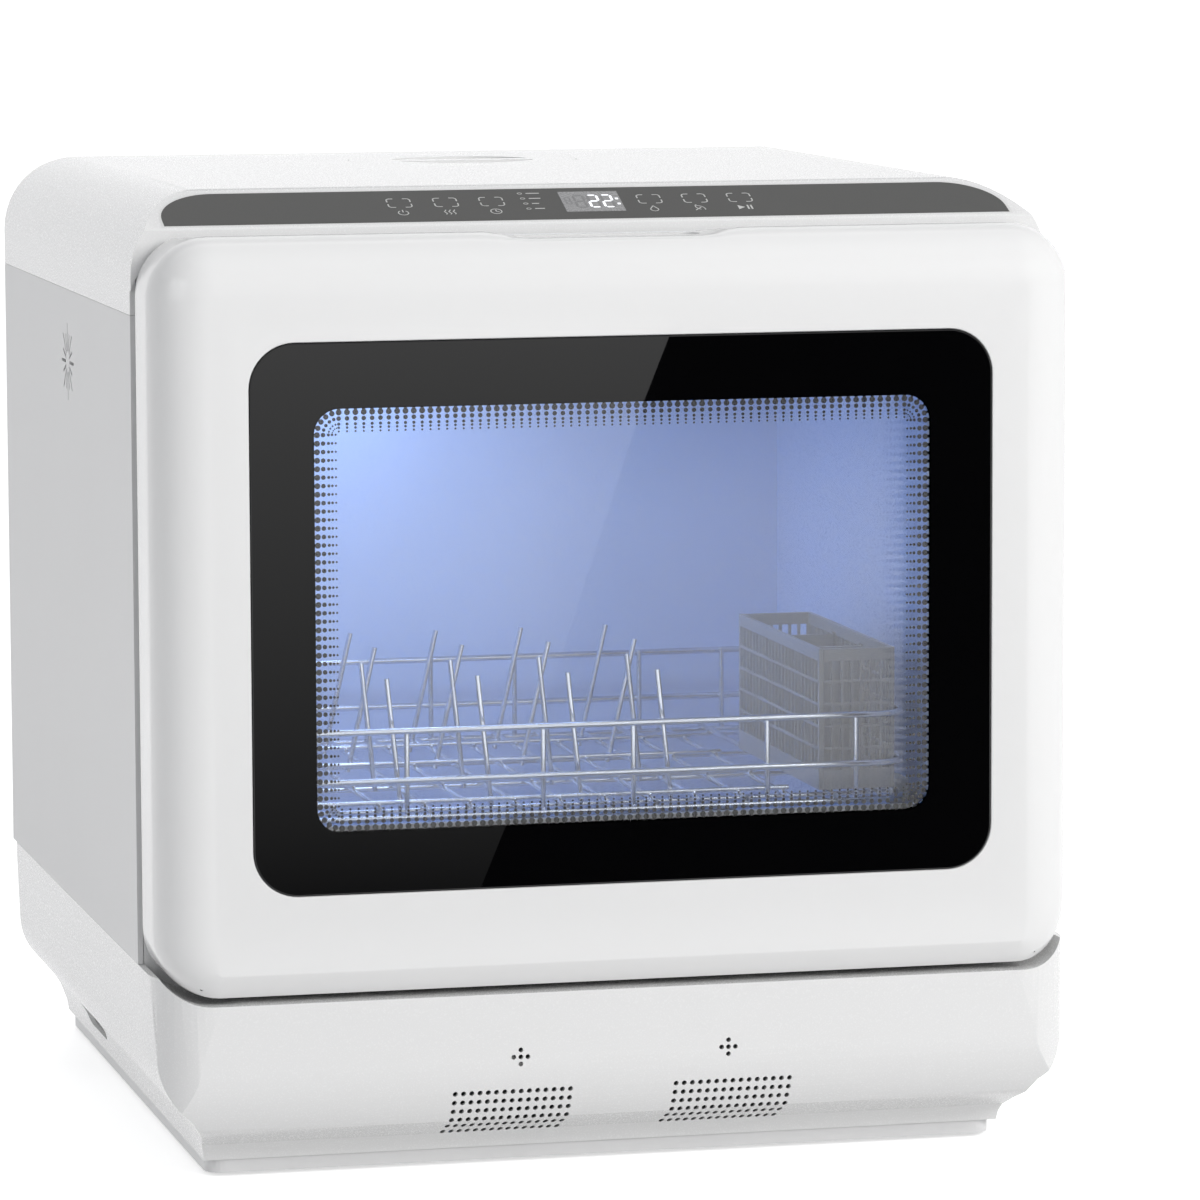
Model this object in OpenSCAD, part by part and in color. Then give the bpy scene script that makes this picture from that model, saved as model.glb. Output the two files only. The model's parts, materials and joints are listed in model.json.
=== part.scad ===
// Countertop dishwasher with a drop-down glass door, a sliding rack,
// a built-in water tank and a touch control strip.
//
// Frame: origin on the table under the middle of the cabinet, +X right,
// +Y to the back, +Z up. Inside the modules y is the depth behind the
// face of the door, and placed() moves it to the frame.

/* [Cabinet] */
// Width of the cabinet
body_w = 420; // [400:1:440]
// Depth from the face of the door to the back
body_d = 435; // [425:1:460]
// Height of the flat top above the table
body_h = 437; // [434:1:450]
// Thickness of the moulded casing
wall = 2.5; // [2:0.1:3]
// Radius of the long top edges
top_r = 36; // [28:1:40]
// Radius of the top back edge
back_r = 12; // [6:1:20]
// Depth of the cabinet's front edge behind the door face
side_front = 58; // [56:0.5:62]
// Height of the top cover's sides
top_cover_h = 53; // [47:1:60]
// Height of the seam between the side panels and the base
seam_low = 95; // [92:1:100]

/* [Base] */
// Step of the plinth in from each side
plinth_in = 27.5; // [22:0.5:32]
// Depth of the plinth's front behind the door face
plinth_front = 44; // [40:0.5:50]
// Depth of the recess that the rear panel stands in
rear_recess = 14; // [8:1:20]
// Height of the plinth's top edge above the table
plinth_top = 8; // [7:0.5:10]
// Height of the feet below the plinth
foot_h = 1.6; // [1:0.1:3]
// Radius of a foot
foot_r = 11; // [8:0.5:14]
// Depth of the lower front panel behind the door face
panel_face = 4; // [3:0.5:6]
// Pitch of the holes in the two grilles
grille_pitch = 3.75; // [3.5:0.05:4]
// Radius of a grille hole
grille_hole_r = 1.15; // [0.8:0.05:1.3]

/* [Door] */
// Gap between the sides of the door and of the cabinet
door_side_gap = 1; // [0.5:0.1:2]
// Height of the door's bottom edge above the table
door_low = 86.3; // [85:0.1:88]
// Height of the band above the door
band_h = 17; // [15:0.5:20]
// Thickness of the closed door
door_t = 53; // [50:0.5:54]
// Corner radius of the door's outline
door_corner = 27; // [20:1:32]
// Radius of the rounded front edges of the door
door_round = 25; // [18:1:30]
// Thickness of the door's shell
door_wall = 2.8; // [2.4:0.1:3.2]
// Width of the white border beside the black front glass
glass_side = 41.2; // [36:0.1:48]
// Height of the white border above the black front glass
glass_over = 45.5; // [40:0.1:52]
// Height of the front glass's lower edge above the table
glass_low = 132.2; // [130:0.1:136]
// Corner radius of the front glass
glass_r = 20; // [14:1:26]
// Thickness of the front glass
glass_t = 4; // [3:0.5:5]
// Depth of the hinge axis behind the door face
hinge_y = 12; // [11.5:0.1:12.5]
// Height of the hinge axis above the table
hinge_z = 97; // [96.5:0.1:98]
// Radius of the hinge pins
pin_r = 3; // [2.5:0.1:3.5]
// Radial play of the hinge pins and other running fits
play = 0.05; // [0.03:0.01:0.1]

/* [Wash tub] */
// Space between the inside of the tub and each side of the cabinet
tub_side = 48; // [47:0.5:52]
// Depth of the tub's back wall behind the door face
tub_back = 345; // [335:1:350]
// Height of the tub floor above the table
tub_floor = 112; // [110:0.5:114]
// Space between the tub's ceiling and the flat top
tub_over = 49; // [47:0.5:51]
// Thickness of the tub's walls
tub_t = 2; // [1.5:0.1:2.2]
// Height of the lower lip of the tub's mouth
mouth_low = 120; // [118:0.5:122]
// Depth of the dished part of the door liner behind the door face
dish_y = 27; // [25:0.5:30]
// Tip radius of the lower spray arm
lower_arm_r = 120; // [110:1:124]
// Tip radius of the upper spray arm
upper_arm_r = 104; // [90:1:120]

/* [Rack] */
// Space between the rack's rails and each side of the tub
rack_side = 10.5; // [9:0.5:16]
// Depth of the rack's front rails behind the door face
rack_front = 72; // [71:0.5:76]
// Length of the rack from front to back
rack_l = 250; // [230:1:252]
// Radius of the rail wires
rail_r = 1.5; // [1.2:0.1:1.8]
// Radius of the floor wires and tines
wire_r = 1.2; // [1:0.1:1.4]
// Height of the middle of the floor wires above the table
rack_z = 154; // [153.5:0.1:155]
// Height of the middle of the lower rail above the table
low_rail_z = 171; // [168:0.5:174]
// Height of the middle of the top rail above the table
top_rail_z = 193.5; // [190:0.5:198]
// Number of tines in each row
tine_count = 5; // [4:1:5]
// Spacing of the tines, and twice that of the floor wires
tine_pitch = 42; // [40:0.5:42]

/* [Filler] */
// Radius of the filler cap
cap_r = 55.5; // [50:0.5:58]
// Depth of the filler's axis behind the door face
cap_y = 331; // [320:1:335]
// Thickness of the cap's top
cap_t = 5; // [4:0.5:6]

/* [Hidden] */

arc_steps = 12;            // straight steps in a quarter turn of a moulded edge
bore_fn = 48;              // round bores and shafts
eps = 0.01;
gap = 0.3;                 // clearance between pieces that slot together

white = [0.93, 0.93, 0.92];
off_white = [0.86, 0.86, 0.85];
dark_grey = [0.32, 0.32, 0.31];
black = [0.03, 0.03, 0.035];
clear = [0.75, 0.85, 0.95, 0.35];
pale_blue = [0.66, 0.76, 0.92];
steel = [0.72, 0.73, 0.75];
grey = [0.50, 0.52, 0.55];
green = [0.10, 0.35, 0.18];
rubber = [0.12, 0.12, 0.13];

half_w = body_w / 2;
plinth_w = body_w - 2 * plinth_in;
plinth_back = body_d - 8;
door_w = body_w - 2 * door_side_gap;
door_high = body_h - band_h;
seam_top = body_h - top_cover_h;
tub_w = body_w - 2 * tub_side;
tub_top = body_h - tub_over;

// Base: the sides lean in a little, then sweep under to the plinth
under_r = 32;
under_turn = 55;
lean = 2;
lean_z = 58;
front_corner = 28;
rear_corner = 12;
panel_gap = 2.4;           // gap between the door and the lower front panel
panel_end = 61;            // depth where the lower panel meets the base sides

// Control strip: a slope from the lip behind the door up to the flat top
lip_y = side_front - 2.5;
slope_front = lip_y + 1;
slope_back = slope_front + 38;
slope_low = body_h - 15.1;
slope_len = norm([slope_back - slope_front, body_h - slope_low]);
slope_angle = atan2(body_h - slope_low, slope_back - slope_front);
strip_t = 2;
strip_margin = 1.5;
strip_over = 4.3;          // slope left free above the strip
strip_half = half_w - 15;
strip_end = 27;            // how far the rounded ends reach along the width
board_half = strip_half - 60;
brow_z = door_high - 8;    // lower edge of the lip, hidden behind the door
brow_r = 24;
frame_high = slope_low - 4.2;

// Door
liner_y = door_t - 3;      // back of the shell, front of the liner's border
glass_w = door_w - 2 * glass_side;
glass_high = door_high - glass_over;
dish_half = tub_w / 2 + 2;
dish_low = hinge_z + 29;
dish_high = tub_top - 7;
pane_w = tub_w - 20;
pane_low = dish_low + 26;
pane_high = dish_high - 22;
pane_t = 4;
hinge_x = half_w - 26;     // middle of each hinge bracket
bracket_t = 5;
notch_w = 17;

// Tub
tub_half = tub_w / 2;
tub_front = side_front + 3;
tub_middle = (tub_floor + tub_top) / 2;
mouth_high = tub_top - 2;
tub_r = 18;
arm_y = (tub_front + tub_back) / 2 + 2;
filter_x = 62;
filter_y = arm_y - 72;
filter_r = 30;
sump_r = 40;
lower_arm_z = tub_floor + 14;
upper_arm_z = tub_top - 18;
riser_x = -120;            // of the pipe that feeds the upper arm

// Rack
rack_half = tub_half - rack_side;
rack_back = rack_front + rack_l;
bend_r = 14;
guide_z = rack_z - 4.3;    // top of the guides that carry the glides
glide_half = tub_half - 3.6;
basket_w = 36;
basket_l = 142;
basket_h = 65;
basket_x = rack_half - 6 - basket_w / 2;
basket_y = rack_front + 8 + basket_l / 2;
basket_z = rack_z + rail_r + 2 * wire_r + gap;

// Filler
cap_z = body_h - cap_t;
bore_r = cap_r - 6;
lug_r = bore_r + 3.2;
lug_count = 4;
strainer_z = cap_z - 24;
collar_low = strainer_z - 2.5;
strainer_r = bore_r - 2;

module placed() translate([0, -body_d / 2, 0]) children();

// Extrusions along the three directions of a 2D outline given in the
// remaining two, in the order x, y, z
module along_x(a, b) translate([a, 0, 0]) rotate([90, 0, 90]) linear_extrude(b - a) children();
module along_y(a, b) translate([0, b, 0]) rotate([90, 0, 0]) linear_extrude(b - a) children();
module along_z(a, b) translate([0, 0, a]) linear_extrude(b - a) children();
module mirrored_pair() { children(); mirror([1, 0, 0]) children(); }
module box(x0, x1, y0, y1, z0, z1) translate([x0, y0, z0]) cube([x1 - x0, y1 - y0, z1 - z0]);
module rod(r, h, fn = bore_fn) cylinder(r = r, h = h, $fn = fn);
module rod_x(r, x0, x1, y, z, fn = bore_fn) translate([x0, y, z]) rotate([0, 90, 0]) rod(r, x1 - x0, fn);
module rod_y(r, y0, y1, x, z, fn = bore_fn) translate([x, y0, z]) rotate([-90, 0, 0]) rod(r, y1 - y0, fn);

function arc(cx, cy, r, a0, a1, n = arc_steps) =
    [for (i = [0:n]) let(a = a0 + (a1 - a0) * i / n) [cx + r * cos(a), cy + r * sin(a)]];
function oval_arc(cx, cy, rx, ry, a0, a1, n = arc_steps) =
    [for (i = [0:n]) let(a = a0 + (a1 - a0) * i / n) [cx + rx * cos(a), cy + ry * sin(a)]];
function flipped(points) = [for (i = [len(points) - 1:-1:0]) [-points[i][0], points[i][1]]];
function mirror_outline(right) = concat(right, flipped(right));

module round_rect(x0, x1, z0, z1, r, n = arc_steps) {
    polygon(concat(
        arc(x1 - r, z1 - r, r, 0, 90, n), arc(x0 + r, z1 - r, r, 90, 180, n),
        arc(x0 + r, z0 + r, r, 180, 270, n), arc(x1 - r, z0 + r, r, 270, 360, n)));
}
module round_rect_ring(x0, x1, z0, z1, r, w, n = arc_steps) {
    difference() {
        round_rect(x0, x1, z0, z1, r, n);
        round_rect(x0 + w, x1 - w, z0 + w, z1 - w, max(r - w, 0.5), n);
    }
}

// ---- Casing ----

// Front view of the cabinet, half width and height, moved in by t
module front_outline(t = 0) {
    h = half_w - t;
    p = plinth_w / 2 - t;
    low = t > 0 ? plinth_top - 1 : plinth_top;
    polygon(mirror_outline(concat(
        [[p + 1.5, low], [p + 1.5, plinth_top], [p + 2.2, plinth_top + 5], [p + 5, plinth_top + 13]],
        arc(h - lean - under_r, lean_z, under_r, -under_turn, 0),
        [[h, seam_low]],
        arc(half_w - top_r, body_h - top_r, top_r - t, 0, 90))));
}

// Side view of the base, depth and height, moved in by t
module base_side_outline(t = 0) {
    f = panel_face + t;
    low = t > 0 ? plinth_top - 1 : plinth_top;
    polygon(concat(
        [[plinth_back + 1.5 - t, low], [plinth_back + 1.5 - t, plinth_top], [body_d - t, plinth_top + 22], [body_d - t, seam_low + 20],
         [f, seam_low + 20], [f, seam_low - 12]],
        arc(f + 1.5 + 46, lean_z - 2, 46, 180, 222),
        [[plinth_front - 6 + t, plinth_top + 8], [plinth_front - 2.5 + t, plinth_top + 3.5],
         [plinth_front - 1.5 + t, plinth_top], [plinth_front - 1.5 + t, low]]));
}

base_floor = plinth_top + 2.2;  // top of the tray that carries the pumps
module base_form(t = 0, z0 = plinth_top - 1, z1 = seam_low) {
    intersection() {
        along_y(0, body_d) front_outline(t);
        along_x(-half_w, half_w) base_side_outline(t);
        along_z(z0, z1) polygon(mirror_outline(concat(
            [[half_w - t - rear_corner, body_d - t]],
            [for (a = [75:-15:0]) [half_w - rear_corner + (rear_corner - t) * cos(a),
                                   body_d - rear_corner + (rear_corner - t) * sin(a)]],
            [for (a = [0:-90 / arc_steps:-90]) [half_w - front_corner + (front_corner - t) * cos(a),
                                   panel_face + front_corner + (front_corner - t) * sin(a)]])));
    }
}

module door_outline(grow = 0) {
    round_rect(-door_w / 2 - grow, door_w / 2 + grow, door_low - grow, door_high + grow, door_corner + grow);
}

// Edge of the lower front panel, clear of the swinging door's corners
ledge_r = 25;
module ledge_outline(grow = 0)
    round_rect(-door_w / 2 - panel_gap - grow, door_w / 2 + panel_gap + grow,
        door_low - panel_gap - grow, door_high, ledge_r + grow);

// Hand hold in each side of the base
handle_y0 = 292;
handle_y1 = 350;
handle_z0 = 16;
handle_z1 = 37;
handle_depth = 36;
module handle_pocket(t = 0) {
    along_x(-half_w, -half_w + handle_depth + t)
        round_rect(handle_y0 - t, handle_y1 + t, handle_z0 - t, handle_z1 + t, 8 + t, 4);
}

module base_shell() difference() {
    base_form();
    base_form(wall, plinth_top - 2, seam_low + 1);
}

// Tabs on the inside of the base that screw down on the tray
tab_t = 2.5;
module base_tabs(spots) difference() {
    intersection() {
        base_form();
        for (p = spots) translate([p[0], p[1], base_floor + gap]) rotate(p[2]) translate([-10, 0, 0]) cube([20, 40, tab_t]);
    }
    for (p = spots) translate([p[0], p[1], base_floor - 1]) rotate(p[2]) translate([0, 5, 0]) rod(1.7, 8, 16);
}

module base_housing() placed() color(white) {
    difference() {
        union() {
            base_shell();
            // ledge under the recess of the rear panel
            box(-half_w + wall, half_w - wall, rear_y - rear_t, body_d - wall + eps, seam_low - wall, seam_low);
        }
        mirrored_pair() handle_pocket();
        box(-half_w - 1, half_w + 1, -1, panel_end + 0.15, 0, seam_low + 1);
    }
    tab_x = plinth_w / 2 - 14.5;
    base_tabs([[-tab_x, 100, 90], [-tab_x, 250, 90], [tab_x, 100, -90], [tab_x, 250, -90],
               [-90, plinth_back - 14, 0], [90, plinth_back - 14, 0]]);
}

// Cups that close the hand holds, each with a flange behind the wall
module carry_cups() placed() color(white) mirrored_pair() difference() {
    union() {
        intersection() {
            base_form(wall + gap);
            handle_pocket(wall);
        }
        intersection() {
            difference() {
                base_form(wall + gap);
                base_form(wall + gap + 2, plinth_top - 2, seam_low + 1);
            }
            handle_pocket(wall + 3);
        }
    }
    handle_pocket();
}

cross_x = 47.6;
cross_z = 55;
cross_arm = 3.2;
cross_hole_r = 1.1;
grille_x = 50.5;
grille_cols = 15;
grille_rows = 6;
grille_z = 39;
grille_row_drop = 4.4;

module front_lower_panel() placed() color(white) difference() {
    union() {
        base_shell();
        base_tabs([[-90, plinth_front + 16, 180], [90, plinth_front + 16, 180]]);
        // ledge under the door, which follows its rounded corners
        intersection() {
            base_form();
            along_y(0, panel_end) difference() {
                ledge_outline(wall);
                ledge_outline();
            }
        }
    }
    along_y(-1, side_front) ledge_outline();
    box(-half_w - 1, half_w + 1, panel_end, body_d + 1, 0, seam_low + 1);
    box(-half_w + wall, half_w - wall, side_front, panel_end + 1, door_low - 6, seam_low + 1);
    // crosses of five holes
    for (s = [-1, 1], d = [[0, 0], [1, 0], [-1, 0], [0, 1], [0, -1]])
        rod_y(cross_hole_r, 0, 20, s * cross_x + d[0] * cross_arm, cross_z + d[1] * cross_arm, 16);
    // the two grilles
    along_y(0, plinth_front - 2)
        for (s = [-1, 1], c = [0:grille_cols - 1], r = [0:grille_rows - 1])
            translate([s * grille_x + (c - (grille_cols - 1) / 2) * grille_pitch, grille_z - r * grille_row_drop])
                circle(r = grille_hole_r, $fn = 16);
}

feet_at = [for (x = [-1, 1], y = [plinth_front + 34, plinth_back - 40]) [x * (plinth_w / 2 - 26), y]];

// Bottom tray: its rim is the plinth, its deck carries the pumps
module base_plinth() placed() color(off_white) difference() {
    deck_half = plinth_w / 2 + 1.5 - wall - gap;
    union() {
        difference() {
            along_z(foot_h, plinth_top) round_rect(-plinth_w / 2, plinth_w / 2, plinth_front, plinth_back, 9, 6);
            along_z(foot_h - 1, base_floor - wall)
                round_rect(-plinth_w / 2 + wall, plinth_w / 2 - wall, plinth_front + wall, plinth_back - wall, 6.5, 6);
        }
        along_z(base_floor - wall, base_floor)
            round_rect(-deck_half, deck_half, plinth_front - 1.5 + wall + gap, plinth_back + 1.5 - wall - gap, 6.5, 6);
        for (p = feet_at) translate([p[0], p[1], foot_h]) rod(foot_r + 2, base_floor - wall - foot_h + eps);
    }
    for (p = feet_at) translate([p[0], p[1], 0]) rod(4, foot_h + 4.2);
    // air inlets under the machine
    for (i = [-4:4]) box(i * 12 - 2, i * 12 + 2, 190, 250, 0, base_floor + 1);
}

module feet() placed() color(rubber) for (p = feet_at) translate([p[0], p[1], 0]) {
    rod(foot_r, foot_h);
    rod(4 - play, foot_h + 4);
}

rear_y = body_d - rear_recess;  // depth of the rear panel's inner side
rear_t = 1.6;
side_screw_z = [seam_low + 35, (seam_low + seam_top) / 2, seam_top - 34];
screw_r = 1.5;
inlet_x = 60;
inlet_r = 13.2;            // three-quarter inch hose thread
inlet_bore_r = 9.5;
drain_x = 120;
drain_r = 9;
drain_bore_r = 7;
port_z = seam_low + 27;
port_collar = 1.8;         // step of each fitting's collar above its hose end
port_y = rear_y + rear_t + 1.5;
vent_y = 237;
vent_z = tub_top - 38;
module sunburst() {
    rays = 16;
    for (i = [0:rays - 1]) rotate(i * 360 / rays) {
        r1 = i % 2 == 0 ? 18 : 14;
        translate([(5 + r1) / 2, 0]) square([r1 - 5, 1.5], center = true);
    }
}

module side_sheet() difference() {
    union() {
        box(half_w - wall, half_w, side_front, body_d, seam_low + 0.15, seam_top - 0.15);
        // folded back edge that the rear panel screws to
        box(half_w - 18, half_w, rear_y - 1.6, rear_y, seam_low + 0.15, seam_top - 0.15);
        // folded front edge behind the front frame
        box(half_w - 12, half_w - wall, tub_front + 0.2, tub_front + 0.2 + wall, seam_low + 8, seam_top - 8);
    }
    along_x(half_w - 5, half_w + 1) translate([vent_y, vent_z]) sunburst();
    for (z = side_screw_z) rod_y(screw_r + play, rear_y - 5, rear_y + 1, half_w - 11, z, 16);
}
module side_panel_right() placed() color(off_white) side_sheet();
module side_panel_left() placed() color(off_white) mirror([1, 0, 0]) side_sheet();

module top_side_outline(t = 0) polygon(concat(
    [[lip_y + t, seam_top - 30], [body_d - t, seam_top - 60]],
    arc(body_d - back_r, body_h - back_r, back_r - t, 0, 90),
    [[slope_back, body_h - t], [slope_front + 2 * t, slope_low - t + 2 * t * tan(slope_angle)],
     [lip_y + t, slope_low - 0.8 - t]]));

module top_form(t = 0, z0 = seam_top) intersection() {
    along_y(0, body_d) front_outline(t);
    along_x(-half_w, half_w) top_side_outline(t);
    box(-half_w, half_w, 0, body_d, z0, body_h);
}

// Space under the lip in front of the cabinet, with rounded top corners
module mouth_space() along_y(-1, side_front)
    round_rect(-half_w - 1, half_w + 1, brow_z - 120, brow_z, brow_r);

module strip_outline(grow = 0) {
    u0 = strip_margin - grow;
    u1 = slope_len - strip_over + grow;
    side = strip_half + grow;
    polygon(mirror_outline(concat(
        [[side, u0]],
        oval_arc(side - strip_end, u0 + 7, strip_end, u1 - u0 - 7, 0, 90))));
}
module on_slope() translate([0, slope_front, slope_low]) rotate([slope_angle, 0, 0]) children();

module top_cover() placed() color(white) difference() {
    union() {
        difference() {
            top_form();
            top_form(wall, seam_top - 1);
        }
        // seat of the control strip
        intersection() {
            top_form();
            on_slope() translate([0, 0, -strip_t - 2]) linear_extrude(2) strip_outline(3);
        }
        // ledge over the recess of the rear panel
        box(-half_w + wall, half_w - wall, rear_y + rear_t + gap, body_d - wall + eps, seam_top, seam_top + wall);
        // ring under the edge of the filler
        translate([0, cap_y, body_h - 8]) difference() {
            rod(cap_r + 4, 8 - wall / 2, 64);
            translate([0, 0, -1]) rod(cap_r + gap, 12, 64);
        }
    }
    mouth_space();
    on_slope() translate([0, 0, -strip_t - 0.05]) linear_extrude(10) strip_outline(0.15);
    // opening under the strip for the touch board
    on_slope() translate([-board_half - 5, 17, -8]) cube([2 * board_half + 10, slope_len - 22, 10]);
    translate([0, cap_y, body_h - 20]) rod(cap_r + gap, 40, 64);
}

module control_panel() placed() color(dark_grey)
    on_slope() translate([0, 0, -strip_t]) linear_extrude(strip_t) strip_outline();

module control_board() placed() color(green)
    on_slope() translate([0, 0, -strip_t - 1.4]) difference() {
        translate([-board_half, 18, 0]) cube([2 * board_half, slope_len - 24, 1.3]);
        translate([-24, 20.9, -1]) cube([42, slope_len - 28.9, 4]);
    }

module display_module() placed() color(black)
    on_slope() translate([-23.5, 21.2, -strip_t - 2.6]) cube([41, slope_len - 29.5, 2.5]);

module front_frame() placed() color(white) difference() {
    along_y(side_front, tub_front) intersection() {
        round_rect(-half_w + wall + gap, half_w - wall - gap, door_low - 5.8, frame_high, 16);
        front_outline(wall + gap);
    }
    along_y(side_front - 1, tub_front + 1) round_rect(-tub_half, tub_half, mouth_low, mouth_high, tub_r - 2);
    // slots of the hinges and of the latch
    mirrored_pair() box(hinge_x - bracket_t / 2 - 1, hinge_x + bracket_t / 2 + 1, side_front - 1, tub_front + 1,
        hinge_z - 3, hinge_z + 9);
    box(-9, 9, side_front - 1, tub_front + 1, latch_z - 6, latch_z + 12);
    for (x = [60 - half_w, -60, 60, half_w - 60]) rod_y(1.7, side_front - 1, tub_front + 1, x, latch_z + 6, 16);
}

module rear_panel() placed() color(off_white) difference() {
    along_y(rear_y, rear_y + rear_t) difference() {
        round_rect(-half_w + wall + gap, half_w - wall - gap, seam_low + gap, seam_top + 14, 3, 4);
        // warm air outlet
        for (i = [0:8]) translate([80 - half_w, tub_top - 88 + i * 8]) round_rect(-35, 35, -2, 2, 1.9, 3);
        translate([drain_x, port_z]) circle(r = drain_r + port_collar + gap, $fn = bore_fn);
        translate([inlet_x, port_z]) circle(r = inlet_r + port_collar + gap, $fn = bore_fn);
    }
    for (s = [-1, 1], z = side_screw_z) rod_y(screw_r + play, rear_y - 1, rear_y + 5, s * (half_w - 11), z, 16);
}

module casing_screws() placed() color(steel)
    for (s = [-1, 1], z = side_screw_z) {
        rod_y(screw_r, rear_y - 8, rear_y + rear_t, s * (half_w - 11), z, 24);
        rod_y(3, rear_y + rear_t, rear_y + rear_t + 1.5, s * (half_w - 11), z, 24);
    }

// ---- Filler, strainer and tank ----

notch_turn = 360 / lug_count;
module lugs(r_in, r_out, z0, z1, angle) for (i = [0:lug_count - 1]) rotate(i * notch_turn)
    translate([0, 0, z0]) intersection() {
        difference() {
            rod(r_out, z1 - z0);
            translate([0, 0, -1]) rod(r_in, z1 - z0 + 2);
        }
        linear_extrude(z1 - z0) polygon([[0, 0], [90, -90 * tan(angle / 2)], [90, 90 * tan(angle / 2)]]);
    }

module filler_collar() placed() color(white) translate([0, cap_y, 0]) difference() {
    union() {
        translate([0, 0, collar_low]) rod(bore_r + 5, cap_z - 1 - collar_low);
        translate([0, 0, body_h - 11]) rod(cap_r + 4, 3);
    }
    // bore, lip with four notches and the ledge that carries the strainer
    translate([0, 0, cap_z - 5]) rod(bore_r + 0.3, 10);
    lugs(bore_r - 1, lug_r + 0.5, cap_z - 6, cap_z + 1, 26);
    translate([0, 0, strainer_z + 2]) rod(lug_r + 0.8, cap_z - 5 - strainer_z - 2);
    translate([0, 0, strainer_z]) rod(strainer_r + 0.3, 20);
    translate([0, 0, strainer_z - 10]) rod(strainer_r - 3, 40);
}

spokes = 8;
module strainer_frame() placed() color(off_white) translate([0, cap_y, strainer_z]) {
    difference() {
        rod(strainer_r, 5);
        translate([0, 0, -1]) rod(strainer_r - 4, 8);
    }
    difference() {
        translate([0, 0, 1]) rod(strainer_r * 0.42, 3);
        translate([0, 0, 0]) rod(strainer_r * 0.42 - 2.4, 8);
    }
    for (i = [0:spokes - 1]) rotate(i * 360 / spokes)
        translate([strainer_r * 0.42 - 1, -1, 1]) cube([strainer_r * 0.58 - 2, 2, 3]);
}

module strainer_mesh() placed() color(steel)
    translate([0, cap_y, strainer_z]) rod(strainer_r - 4 - play, 0.8);

funnel_z = tub_top + tub_t + 2.5;
module fill_funnel() placed() color(off_white) difference() {
    union() {
        translate([0, cap_y, funnel_z]) rod(strainer_r + 2, collar_low - funnel_z);
        box(-24, 24, cap_y, tub_back + 34, funnel_z, collar_low - gap);
    }
    translate([0, cap_y, funnel_z + 2]) rod(strainer_r - 0.5, 40);
    box(-22, 22, cap_y, tub_back + 32, funnel_z + 2, collar_low - gap - 2);
    translate([0, tub_back + 20, funnel_z - 1]) rod(9 + play, 5);
}

module cap_seal() placed() color(rubber) translate([0, cap_y, cap_z - 1]) difference() {
    rod(cap_r - 2, 1);
    translate([0, 0, -1]) rod(bore_r + 1, 3);
}

module filler_cap() placed() color(white) translate([0, cap_y, 0]) difference() {
    union() {
        translate([0, 0, cap_z]) rod(cap_r, cap_t, 96);
        translate([0, 0, cap_z - 10]) rod(bore_r, 10 + eps);
        lugs(bore_r - 1, lug_r, cap_z - 10, cap_z - 6.8, 20);
    }
    translate([0, 0, cap_z - 11]) rod(bore_r - 2.5, 8);
    // two finger hollows leave a bar across the middle
    for (s = [-1, 1]) translate([0, 0, cap_z - 1]) intersection() {
        rod(cap_r * 0.62, 20);
        translate([-60, s > 0 ? 6 : -66, 0]) cube([120, 60, 20]);
    }
}

tank_y0 = tub_back + tub_t + 3;
tank_y1 = rear_y - 4;
tank_half = half_w - 60;
tank_z0 = seam_low + 8;
tank_z1 = tub_top + 1;
module water_tank() placed() color(pale_blue) difference() {
    union() {
        along_y(tank_y0, tank_y1) round_rect(-tank_half, tank_half, tank_z0, tank_z1, 14, 5);
        translate([0, tub_back + 20, tank_z1 - eps]) rod(9, funnel_z - tank_z1 + 1);
        translate([60, (tank_y0 + tank_y1) / 2, tank_z0 - 6]) rod(7, 6 + eps);
    }
    along_y(tank_y0 + 2.5, tank_y1 - 2.5)
        round_rect(-tank_half + 2.5, tank_half - 2.5, tank_z0 + 2.5, tank_z1 - 2.5, 11.5, 5);
    translate([0, tub_back + 20, tank_z1 - 10]) rod(7, 30);
    translate([60, (tank_y0 + tank_y1) / 2, tank_z0 - 8]) rod(5, 30);
}

// ---- Tub and what stands in it ----

module tub() placed() color(pale_blue) difference() {
    union() {
        along_y(tub_front, tub_back + tub_t)
            round_rect(-tub_half - tub_t, tub_half + tub_t, tub_floor - tub_t, tub_top + tub_t, tub_r + tub_t, 8);
        along_y(tub_front, tub_front + tub_t)
            round_rect(-tub_half - 8, tub_half + 8, tub_floor - 6, tub_top + 8, tub_r + 6, 8);
    }
    along_y(tub_front + tub_t, tub_back) round_rect(-tub_half, tub_half, tub_floor, tub_top, tub_r, 8);
    along_y(tub_front - 1, tub_front + tub_t + 1)
        round_rect(-tub_half, tub_half, mouth_low, mouth_high, tub_r - 2, 8);
    // sump, spray post and feed pipe
    translate([filter_x, filter_y, tub_floor - 10]) rod(sump_r - 4, 20);
    translate([0, arm_y, tub_floor - 10]) rod(8 + play, 20);
    translate([riser_x, tub_back - 9, tub_floor - 10]) rod(5 + play, 20);
    // outlet of the drying air
    for (i = [-2:2]) box(-tub_half - 8, -tub_half + 1, vent_y + i * 7 - 2, vent_y + i * 7 + 2, vent_z - 14, vent_z + 14);
}

module door_gasket() placed() color(grey)
    along_y(door_t + gap, side_front)
        round_rect_ring(-tub_half - 11, tub_half + 11, mouth_low - 9, mouth_high + 9, tub_r + 7, 7, 8);

module rack_guides() placed() color(grey) mirrored_pair() {
    box(tub_half - 8, tub_half, rack_front + 4, tub_back - 8, guide_z - 3, guide_z);
    box(tub_half - 2, tub_half, rack_front + 4, tub_back - 8, guide_z - 8, guide_z - 3 + eps);
}

module interior_lamp() placed() color([0.9, 0.95, 1])
    along_z(tub_top - 4, tub_top) translate([0, tub_front + 34]) round_rect(-55, 55, -8, 8, 7.5, 6);

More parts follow.
